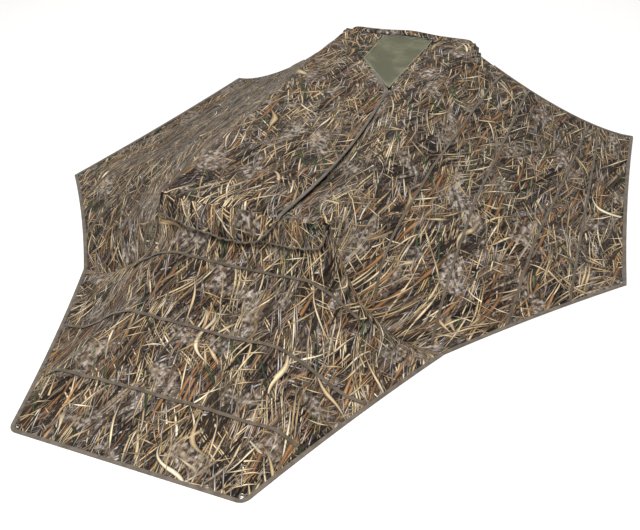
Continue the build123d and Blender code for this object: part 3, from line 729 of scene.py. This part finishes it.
foot_places = arc_places(foot_points, (0.1, 3.3), foot_points.shape[1] // 2)
foot_cover = turned_up(grid_piece("foot_cover_cloth", foot_points, foot_places, camo))


# ---------------------------------------------------------------- door front lips
def lip_piece(name, x_start, x_end, y, top, bottom, shift, seed, belly):
    """Front lip: rolls over the door's front edge and hangs in small gathers."""
    columns = np.linspace(0, 1, 150)
    rows = []
    for v in np.linspace(0, 1, 40):
        row = []
        for t in columns:
            x = x_start + (x_end - x_start) * t
            high, low = top(x), bottom(x)
            fall = sin(v * pi / 2) ** 1.25 * 0.25 + v * 0.75
            fold = wave(x, 0, 0.016, seed) + 0.5 * wave(x, 0, 0.007, seed + 1)
            fold *= 0.0075 * sin(min(v * 1.3, 1) * pi / 2) * min(1, t * 12, (1 - t) * 12)
            yy = y - belly * sin(min(v * 1.15, 1) * pi * 0.62) + fold
            row.append((x, yy, high - (high - low) * fall))
        rows.append(row)
    points = np.array(rows)
    steps = np.linalg.norm(np.diff(points, axis=0), axis=2)
    down = np.concatenate([np.zeros((1, points.shape[1])), np.cumsum(steps, axis=0)])
    places = [[(shift[0] + points[i, j, 0], shift[1] + down[i, j])
               for j in range(points.shape[1])] for i in range(points.shape[0])]
    return grid_piece(name, points, places, camo), points


LAP_FRONT_X = free_edge(LIP_Y)
LEFT_LIP_EDGE = [(-0.300, 0.318), (-0.186, 0.284), (-0.077, 0.266), (-0.010, 0.265),
                 (0.030, 0.271), (0.050, 0.281), (0.072, 0.302), (0.094, 0.326),
                 (0.112, 0.350), (LAP_FRONT_X, 0.362)]
RIGHT_LIP_EDGE = [(0.0, 0.274), (0.156, 0.276), (0.206, 0.280), (0.250, 0.291), (0.266, 0.310),
                  (0.284, 0.362)]


def edge_height(outline, x):
    return float(np.interp(x, [a for a, _ in outline], [b for _, b in outline]))


left_lip, left_lip_points = lip_piece(
    "left_front_lip", -SIDE_TOP_X + 0.006, LAP_FRONT_X - 0.001, LIP_Y + 0.006,
    lambda x: left_z(x, LIP_Y + 0.005) - 0.009, lambda x: edge_height(LEFT_LIP_EDGE, x),
    (0.9, 5.0), 41, 0.016)
right_lip, right_lip_points = lip_piece(
    "right_front_lip", 0.006, SIDE_TOP_X - 0.008, LIP_Y + 0.012,
    lambda x: right_z(x, LIP_Y + 0.011) - 0.009, lambda x: edge_height(RIGHT_LIP_EDGE, x),
    (1.6, 5.4), 43, 0.008)

# ---------------------------------------------------------------- hem binding
def level_sides(line):
    """Level unit vectors across a line, one for each point."""
    line = np.array(line, float)
    ahead = np.gradient(line, axis=0)
    across = np.stack([ahead[:, 1], -ahead[:, 0], np.zeros(len(line))], axis=1)
    return units(across)


REAR_SKIP = DOOR_COLUMNS + 11
right_hem = np.concatenate([right_points[:, -1], right_points[-1, REAR_SKIP:-1][::-1]])
left_hem = np.concatenate([left_points[:, 0], left_points[-1, 1:-REAR_SKIP]])
foot_hem = np.concatenate([foot_points[:0:-1, 0], foot_points[0], foot_points[1:, -1]])
tape_lift = np.array([0, 0, 0.0006])
tapes = []
for number, line in enumerate((right_hem, left_hem, foot_hem)):
    tapes.append(band_piece(f"hem_tape_{number}", line + tape_lift, level_sides(line), (0, 0, 1),
                            TAPE_WIDTH, 0.0036, tape_cloth))
hem_tape = join("hem_binding_tape", tapes)

# ---------------------------------------------------------------- edge bindings on the doors
lap_edge = lap_points[:, -1]
lap_tape = band_piece("lap_edge_tape", lap_edge + np.array([-0.003, 0, 0.0008]),
                      level_sides(lap_edge), (0, 0, 1), 0.012, 0.0034, tape_cloth)


def lip_tape(name, line):
    line = np.array(line)
    ahead = np.gradient(line, axis=0)
    across = np.stack([-ahead[:, 2], np.zeros(len(line)), ahead[:, 0]], axis=1)
    return band_piece(name, line, units(across), (0, -1, 0), 0.007, 0.0034, tape_cloth)


left_lip_tape = lip_tape("left_lip_tape", left_lip_points[-1])
right_lip_tape = lip_tape("right_lip_tape", right_lip_points[-1])


def window_tape(name, line, shift):
    """Narrow fold of the cloth along the window's edge."""
    return band_piece(name, line + np.array([shift, 0, 0.0008]), level_sides(line), (0, 0, 1),
                      0.006, 0.0032, camo)


notch_rows = [i for i in range(left_points.shape[0]) if left_points[i, -1, 1] > NOTCH[0][1]]
left_notch_tape = window_tape("left_window_tape", left_points[notch_rows, -1], -0.003)
side_rows = [i for i in range(right_points.shape[0]) if right_points[i, 0, 0] > 0.1]
right_notch_tape = window_tape("right_window_tape", right_points[side_rows, 0], 0.003)


# ---------------------------------------------------------------- stubble straps
def surface_at(tree, x, y):
    """Height of a cloth and its upward normal."""
    hit = tree.ray_cast(Vector((x, y, 1.0)), Vector((0, 0, -1)))
    if hit[0] is None:
        return None, None
    return hit[0].z, hit[1] if hit[1].z > 0 else -hit[1]


def cloth_tree(obj):
    """Search tree of a cloth's faces."""
    mesh = obj.data
    return BVHTree.FromPolygons([v.co[:] for v in mesh.vertices],
                                [p.vertices[:] for p in mesh.polygons])


def strap(name, tree, start, end, tack=0.075, width=0.013, loop_height=0.0035):
    """Webbing along a cloth, sewn down at tacks, with low loops between them."""
    length = hypot(end[0] - start[0], end[1] - start[1])
    count = ceil(length / 0.008)
    line, ups = [], []
    for number in range(count + 1):
        x, y = lerp(start, end, number / count)
        z, normal = surface_at(tree, x, y)
        if z is None:
            continue
        loop = abs(sin(pi * number * length / count / tack)) ** 0.8
        line.append(Vector((x, y, z)) + normal * (0.0012 + loop_height * loop))
        ups.append(normal)
    sides = level_sides([tuple(p) for p in line])
    return band_piece(name, [tuple(p) for p in line], sides, [tuple(u) for u in ups], width,
                      0.0016, web_cloth)


def y_at(value):
    return FOOT_Y + value


WING_STRAPS = [((0.412, 0.790), (0.400, 2.245)), ((0.598, 0.806), (0.500, 2.278)),
               ((0.785, 0.972), (0.742, 2.338)), ((0.938, 1.168), (0.782, 2.352))]
for side, obj in ((1, right_cover), (-1, left_cover)):
    tree = cloth_tree(obj)
    made = []
    for number, (a, b) in enumerate(WING_STRAPS):
        made.append(strap(f"strap_{side}_{number}", tree, (side * a[0], y_at(a[1])),
                          (side * b[0], y_at(b[1])), 0.075, 0.009, 0.0014))
    word = "right" if side > 0 else "left"
    joined = join(f"{word}_wing_straps", made)
    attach(joined, "frame")
    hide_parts(f"{word}_stubble_straps")
foot_tree = cloth_tree(foot_cover)
foot_straps = []
for number, (y, reach) in enumerate(((0.232, 0.415), (0.470, 0.520), (0.708, 0.400))):
    foot_straps.append(strap(f"foot_strap_{number}", foot_tree, (-reach, y_at(y)),
                             (reach, y_at(y))))
foot_strap_set = join("foot_straps", foot_straps)
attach(foot_strap_set, "frame")
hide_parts("foot_stubble_straps")

# ---------------------------------------------------------------- head end
ARCH_X, ARCH_FOOT_X, ARCH_LOW = 0.262, 0.290, 0.040
ARCH_SHOULDER, ARCH_BEND, ARCH_RISE = 0.3835, 0.018, 0.009


def arch_point(t, grow):
    """Point over the head hoop, t from 0 at the left foot to 1 at the right foot."""
    path = [(-ARCH_FOOT_X, ARCH_LOW), (-ARCH_X, ARCH_SHOULDER - ARCH_BEND)]
    path += [(-ARCH_X + ARCH_BEND * (1 - cos(a)), ARCH_SHOULDER - ARCH_BEND * (1 - sin(a)))
             for a in np.linspace(0.2, pi / 2, 7)]
    flat = ARCH_X - ARCH_BEND
    path += [(x, ARCH_SHOULDER + ARCH_RISE * np.exp(-(x / 0.085) ** 2) + 0.002)
             for x in np.linspace(-flat + 0.01, flat - 0.01, 41)]
    path += [(ARCH_X - ARCH_BEND * (1 - cos(a)), ARCH_SHOULDER - ARCH_BEND * (1 - sin(a)))
             for a in np.linspace(pi / 2, 0.2, 7)]
    path += [(ARCH_X, ARCH_SHOULDER - ARCH_BEND), (ARCH_FOOT_X, ARCH_LOW)]
    path = np.array(path)
    run = run_along(path)
    at = min(max(t, 0.001), 0.999) * run[-1]
    x, z = np.interp(at, run, path[:, 0]), np.interp(at, run, path[:, 1])
    before, after = np.array([[np.interp(at + d, run, path[:, k]) for k in (0, 1)]
                              for d in (-0.0009, 0.0009)])
    dx, dz = after - before
    size = hypot(dx, dz)
    return x - dz / size * grow, z + dx / size * grow


hood_rows = []
for y, grow in ((DOOR_REAR - 0.012, -0.004), (DOOR_REAR - 0.002, 0.0), (DOOR_REAR + 0.006, 0.0022),
                (BAND_REAR - 0.012, 0.0026), (BAND_REAR - 0.003, 0.001),
                (BAND_REAR - 0.001, -0.003)):
    arch = [arch_point(t, grow) for t in np.linspace(0, 1, 200)]
    hood_rows.append([(x, y, z) for x, z in arch])
hood_points = np.array(hood_rows)
hood = turned_up(grid_piece("hood_band_cloth", hood_points, arc_places(hood_points, (3.0, 1.2)),
                            camo))
PANEL_TAPER, PANEL_LOW_Z = 0.985, 0.036
panel_rows = []
top_line = [arch_point(t, -0.0005) for t in np.linspace(0.0, 1, 90)]
for v in np.linspace(0, 1, 40):
    y = BAND_REAR - 0.004 + 0.004 * sin(pi * v)
    panel_rows.append([(x * (1 - v) + PANEL_TAPER * x * v, y, z + (PANEL_LOW_Z - z) * v)
                       for x, z in top_line])
panel_points = np.array(panel_rows)
rear_cloth = grid_piece("rear_panel_cloth", panel_points, arc_places(panel_points, (0.4, 2.2)),
                        camo)

# ---------------------------------------------------------------- face screen
screen_outline = [(0.102, FOOT_Y + 1.734), (-0.090, FOOT_Y + 1.965), (-0.101, FOOT_Y + 2.218),
                  (0.104, FOOT_Y + 2.218)]
NET_CORNER = 0.477
NET_SAG = 0.010
net_rows = []
for v in np.linspace(0, 1, 60):
    right_edge = lerp(screen_outline[0], screen_outline[3], v)
    if v < NET_CORNER:
        left_edge = lerp(screen_outline[0], screen_outline[1], v / NET_CORNER)
    else:
        left_edge = lerp(screen_outline[1], screen_outline[2], (v - NET_CORNER) / (1 - NET_CORNER))
    width = right_edge[0] - left_edge[0]
    dip = NET_SAG * sin(pi * v) * width / 0.2
    net_rows.append([(left_edge[0] + width * t, right_edge[1], NET_TOP - dip * sin(pi * t))
                     for t in np.linspace(0, 1, 30)])
net_points = np.array(net_rows)
net_cloth = turned_up(grid_piece("face_screen_net", net_points, arc_places(net_points), net,
                                 skin=0.0008))
rim = [tuple(p) for p in net_points[1:, 0]] + [tuple(p) for p in net_points[-1, 1:]]
rim += [tuple(p) for p in net_points[::-1, -1][1:]]
rim_line = np.array(rim) + np.array([0, 0, 0.0006])
net_rim = band_piece("face_screen_rim", rim_line, level_sides(rim_line), (0, 0, 1), 0.007, 0.0024,
                     net_hem)
hem_lines = []
for back in (0.012, 0.026):
    y = screen_outline[2][1] - back
    line = np.array([(x, y, NET_TOP - 0.0005 - 0.003 * sin(pi * (x + 0.1) / 0.2) * back / 0.026)
                     for x in np.linspace(-0.098, 0.1, 24)])
    hem_lines.append(band_piece(f"screen_hem_{int(back * 1000)}", line, (0, 1, 0), (0, 0, 1),
                                0.004, 0.0018, net_hem))
screen_hem = join("face_screen_hem", hem_lines)


# ---------------------------------------------------------------- pads and sling
def cushion(name, size, place, tall, material, body, nodes, turn=0.0, lines=0):
    """Crowned pad with pinched corners, from a rounded box grid."""
    count = 44
    layers = []
    for flip in (1, -1):
        grid = np.zeros((count, count, 3))
        for i in range(count):
            for j in range(count):
                u, v = -1 + 2 * j / (count - 1), -1 + 2 * i / (count - 1)
                pinch = 1 - 0.018 * (u * u * v * v)
                edge = (1 - abs(u) ** 8) ** 0.5 * (1 - abs(v) ** 8) ** 0.5
                crown = 0.72 + 0.28 * (1 - u * u) * (1 - v * v)
                sew = 1.0
                for k in range(lines):
                    at = -1 + 2 * (k + 1) / (lines + 1)
                    sew -= 0.26 * np.exp(-((v - at) / 0.035) ** 2)
                half = tall / 2 * edge * (crown * sew if flip > 0 else 0.96)
                grid[i, j] = (u * size[0] / 2 * pinch, v * size[1] / 2 * pinch, flip * half)
        layers.append(grid)
    meshes = []
    for number, grid in enumerate(layers):
        places = grid[..., :2]
        meshes.append(grid_piece(f"{name}_{number}", grid, places, material, skin=0))
    obj = join(name, meshes)
    bm = bmesh.new()
    bm.from_mesh(obj.data)
    bmesh.ops.remove_doubles(bm, verts=bm.verts, dist=0.0002)
    bmesh.ops.recalc_face_normals(bm, faces=bm.faces)
    bm.to_mesh(obj.data)
    bm.free()
    obj.data.transform(Matrix.Translation(place) @ Matrix.Rotation(turn, 4, "X"))
    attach(obj, body)
    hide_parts(*nodes)
    return obj


RECLINE = radians(17)
low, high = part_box("seat_pad")
cushion("seat_cushion", (high.x - low.x, high.y - low.y), (low + high) / 2,
        high.z - low.z, pad_cloth, "frame", ["seat_pad"], lines=3)
low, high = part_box("headrest_pad")
cushion("headrest_cushion", (high.x - low.x, 0.130), (low + high) / 2, 0.034,
        pad_cloth, "headrest", ["headrest_pad"], RECLINE, lines=1)

low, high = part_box("backrest_sling")
sling_rows = []
for v in np.linspace(0, 1, 50):
    row = []
    for t in np.linspace(-1, 1, 40):
        dip = 0.010 * (1 - t * t) * sin(pi * v) ** 0.6
        y = low.y + 0.003 + (high.y - low.y - 0.006) * v
        z = low.z + 0.0045 + (high.z - low.z - 0.006) * v - dip
        row.append((high.x * t, y, z))
    sling_rows.append(row)
sling_points = np.array(sling_rows)
sling = turned_up(grid_piece("backrest_sling_cloth", sling_points, arc_places(sling_points),
                             pad_cloth, skin=0.002))
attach(sling, "backrest")
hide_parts("backrest_sling")

low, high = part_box("floor_sheet")
floor_rows = np.array([[(low.x + (high.x - low.x) * s, low.y + (high.y - low.y) * t, 0.0013)
                        for s in np.linspace(0, 1, 40)] for t in np.linspace(0, 1, 120)])
ripple(floor_rows, np.full(floor_rows.shape[:2], 0.0006), 0.08, 51)
floor_rows[..., 2] = np.maximum(floor_rows[..., 2], 0.0009)
ground_cloth = turned_up(grid_piece("floor_cloth", floor_rows, arc_places(floor_rows),
                                    floor_cloth, skin=0.0008))
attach(ground_cloth, "frame")
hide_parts("floor_sheet")

# ---------------------------------------------------------------- sewn straps
def rounded(path, radius, steps=6):
    """A path of corners with each inner corner rounded."""
    line = [np.array(path[0], float)]
    for before, corner, after in zip(path, path[1:], path[2:]):
        corner = np.array(corner, float)
        back = np.array(before, float) - corner
        on = np.array(after, float) - corner
        back, on = back / np.linalg.norm(back), on / np.linalg.norm(on)
        for t in np.linspace(0, 1, steps):
            line.append(corner + radius * (back * (1 - t) ** 2 + on * t ** 2))
    line.append(np.array(path[-1], float))
    return np.array(line)


def finely(line, step=0.004):
    """The same line with points at even steps."""
    run = run_along(line)
    at = np.linspace(0, run[-1], ceil(run[-1] / step) + 1)
    return np.stack([np.interp(at, run, line[:, k]) for k in range(3)], axis=1)


PULL_WEB = 0.018
WEB_THICK = 0.0018
for word, side in (("right", 1), ("left", -1)):
    low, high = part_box(f"{word}_pull_strap")
    x, edge = (low.x + high.x) / 2, PULL_WEB / 2 + 0.001
    corners = [(x, low.y + edge, high.z - 0.001), (x, low.y + edge, low.z + edge),
               (x, high.y - edge, low.z + edge), (x, high.y - edge, high.z - 0.001)]
    line = finely(rounded(corners, 0.014))
    ahead = np.gradient(line, axis=0)
    across = np.stack([np.zeros(len(line)), -ahead[:, 2], ahead[:, 1]], axis=1)
    pull = band_piece(f"{word}_pull_loop", line, units(across), (1, 0, 0), PULL_WEB, WEB_THICK,
                      web_cloth)
    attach(pull, f"{word}_door")
    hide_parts(f"{word}_pull_strap")

low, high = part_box("headrest_strap")
LOOP_WEB, LOOP_RISE = 0.037, 0.0126
loop_x = (high.x - low.x) / 2 - 0.001
corners = [(0, 0, -LOOP_RISE), (loop_x, 0, -LOOP_RISE), (loop_x, 0, LOOP_RISE),
           (-loop_x, 0, LOOP_RISE), (-loop_x, 0, -LOOP_RISE), (-0.0005, 0, -LOOP_RISE)]
line = finely(rounded(corners, 0.006))
ahead = np.gradient(line, axis=0)
outwards = np.stack([ahead[:, 2], np.zeros(len(line)), -ahead[:, 0]], axis=1)
head_loop = band_piece("headrest_loop", line, (0, 1, 0), units(outwards), LOOP_WEB, WEB_THICK,
                       web_cloth)
head_loop.data.transform(Matrix.Translation((low + high) / 2) @ Matrix.Rotation(RECLINE, 4, "X"))
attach(head_loop, "headrest")
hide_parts("headrest_strap")

# ---------------------------------------------------------------- grommets
HOLE_COVER = 0.0088
GROMMETS = [(0.358, 0.022), (0.625, 0.817), (1.056, 1.330), (0.890, 2.370)]


def ring_piece(name, tree, x, y):
    """Pressed eyelet with a rolled flange and a hole through it."""
    z, normal = surface_at(tree, x, y)
    section = [(0.0050, -0.0012), (0.0050, 0.0006), (0.0054, 0.0017), (0.0064, 0.0022),
               (0.0080, 0.0017), (0.0090, 0.0006), (0.0090, 0.0001), (0.0064, -0.0012)]
    steps = 40
    rows = [[(r * cos(2 * pi * k / steps), r * sin(2 * pi * k / steps), h) for r, h in section]
            for k in range(steps + 1)]
    points = np.array(rows)
    places = [[(j * 0.003, i * 0.0012) for j in range(len(section) + 1)]
              for i in range(steps + 1)]
    obj = grid_piece(name, points, places, ring_metal, skin=0, closed=True)
    turn = Vector((0, 0, 1)).rotation_difference(normal).to_matrix().to_4x4()
    obj.data.transform(Matrix.Translation((x, y, z + 0.0006)) @ turn)
    return obj


def open_hole(obj, x, y):
    """Opens the cloth under an eyelet and gives back the middle of the hole."""
    bm = bmesh.new()
    bm.from_mesh(obj.data)
    nearest = min(bm.faces, key=lambda face: hypot(face.calc_center_median().x - x,
                                                   face.calc_center_median().y - y))
    spot = nearest.calc_center_median()
    inside = [face for face in bm.faces
              if all(hypot(v.co.x - spot.x, v.co.y - spot.y) < HOLE_COVER for v in face.verts)]
    bmesh.ops.delete(bm, geom=inside, context="FACES")
    bm.to_mesh(obj.data)
    bm.free()
    return spot.x, spot.y


rings = []
for side in (1, -1):
    for number, (x, y) in enumerate(GROMMETS):
        cloth = foot_cover
        if number > 0:
            cloth = right_cover if side > 0 else left_cover
        tree = cloth_tree(cloth)
        spot_x, spot_y = open_hole(cloth, side * x, y_at(y))
        rings.append(ring_piece(f"ring_{side}_{number}", tree, spot_x, spot_y))
eyelets = join("eyelets", rings)
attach(eyelets, "frame")
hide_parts("grommets")

# ---------------------------------------------------------------- cuts of the cloth
def outline_area(corners):
    """Area inside a closed outline."""
    pairs = zip(corners, corners[1:] + corners[:1])
    return abs(sum(ax * by - bx * ay for (ax, ay), (bx, by) in pairs)) / 2


def lip_cut(outline, start, end):
    """Width, drop and area of a lip's cut, with cloth for its gathers."""
    xs = np.linspace(start, end, 60)
    drops = DOOR_TOP - 0.006 - np.array([edge_height(outline, x) for x in xs])
    width = GATHER * (end - start)
    return (width, float(drops.max())), width * float(drops.mean())


GATHER = 1.12
arch_length = 2 * hypot(ARCH_FOOT_X - ARCH_X, ARCH_SHOULDER - ARCH_BEND - ARCH_LOW)
arch_length += pi * ARCH_BEND + 2 * (ARCH_X - ARCH_BEND)
plan = outline_area([(SIDE_TOP_X, FRONT_Y), WAIST, WING_FRONT, WING_REAR, (SIDE_TOP_X, REAR_Y)])

# ---------------------------------------------------------------- riding, lip cuts, replaced nodes
for obj, side, word in ((right_cover, 1, "right"), (left_cover, -1, "left")):
    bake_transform(obj)
    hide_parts(f"{word}_skirt", f"{word}_door_panel")
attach(left_lap, "left_door")
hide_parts("left_door_flap")
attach(foot_cover, "frame")
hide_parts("foot_cover")
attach(hem_tape, "frame")
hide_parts("hem_binding")
LEFT_CUT = lip_cut(LEFT_LIP_EDGE, -SIDE_TOP_X + 0.006, LAP_FRONT_X)
RIGHT_CUT = lip_cut(RIGHT_LIP_EDGE, 0.006, SIDE_TOP_X - 0.008)
for obj, body, node, cut in ((left_lip, "left_door", "left_door_lip", LEFT_CUT),
                             (right_lip, "right_door", "right_door_lip", RIGHT_CUT)):
    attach(obj, body)
    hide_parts(node)
for obj, body in ((lap_tape, "left_door"), (left_lip_tape, "left_door"),
                  (left_notch_tape, "left_door"), (right_lip_tape, "right_door"),
                  (right_notch_tape, "right_door")):
    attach(obj, body)
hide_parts("left_door_binding")
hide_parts("right_door_binding")
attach(hood, "frame")
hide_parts("hood_band")
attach(rear_cloth, "frame")
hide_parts("rear_panel")
for obj in (net_cloth, net_rim, screen_hem):
    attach(obj, "face_screen")
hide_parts("screen_mesh")
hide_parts("screen_border")
outline_area(screen_outline)

LOOKS = {"frame_tube": tube_metal, "spring_wire": spring_metal, "bracket_plastic": nylon,
         "webbing": web_cloth, "binding_tape": tape_cloth, "grommet_metal": ring_metal,
         "pad_cloth": pad_cloth, "camo_cloth": camo, "mesh_net": net, "floor_cloth": floor_cloth}
node_slots = {entry["node"]: entry["material_slot"] for entry in frame["record"]["subparts"]}
for node, obj in frame["nodes"].items():
    obj.data.materials.clear()
    obj.data.materials.append(LOOKS[node_slots[node]])

# ---------------------------------------------------------------- floor, light, camera
floor_mesh = bpy.data.meshes.new("studio_floor")
floor_mesh.from_pydata([(-14, -14, 0), (14, -14, 0), (14, 14, 0), (-14, 14, 0)], [],
                       [(0, 1, 2, 3)])
studio = bpy.data.objects.new("studio_floor", floor_mesh)
bpy.context.scene.collection.objects.link(studio)
g = Graph("studio_floor")
floor_mesh.materials.append(g.finish(rgb("f2f1ef"), 0.9))
studio.location.z = -0.0005

world = bpy.data.worlds.new("studio")
bpy.context.scene.world = world
world.use_nodes = True
world.node_tree.nodes["Background"].inputs[0].default_value = (1.0, 1.0, 1.0, 1)
world.node_tree.nodes["Background"].inputs[1].default_value = 0.60


def area_light(name, place, target, size, power):
    light = bpy.data.lights.new(name, "AREA")
    light.size = size
    light.energy = power
    obj = bpy.data.objects.new(name, light)
    bpy.context.scene.collection.objects.link(obj)
    obj.location = place
    obj.rotation_euler = (Vector(target) - Vector(place)).to_track_quat("-Z", "Y").to_euler()


area_light("key", (0.9, -3.0, 4.2), (0, 0, 0), 1.6, 290)
area_light("rim", (-1.5, 3.0, 3.6), (0, 0, 0), 2.4, 50)

CAMERA_PLACE = Vector((1.396, -2.810, 1.970))
PITCH, YAW, ROLL = radians(33.416), radians(25.697), radians(-2.739)
ahead = Vector((-sin(YAW) * cos(PITCH), cos(YAW) * cos(PITCH), -sin(PITCH)))
level = ahead.cross(Vector((0, 0, 1))).normalized()
above = level.cross(ahead)
camera_right = level * cos(ROLL) + above * sin(ROLL)
camera_up = -level * sin(ROLL) + above * cos(ROLL)
camera_data = bpy.data.cameras.new("camera")
camera_data.lens = 58.77
camera_data.sensor_width = 36
camera = bpy.data.objects.new("camera", camera_data)
bpy.context.scene.collection.objects.link(camera)
turn = Matrix((camera_right, camera_up, -ahead)).transposed().to_4x4()
camera.matrix_world = Matrix.Translation(CAMERA_PLACE) @ turn
bpy.context.scene.camera = camera
bpy.context.scene.view_settings.view_transform = "Standard"
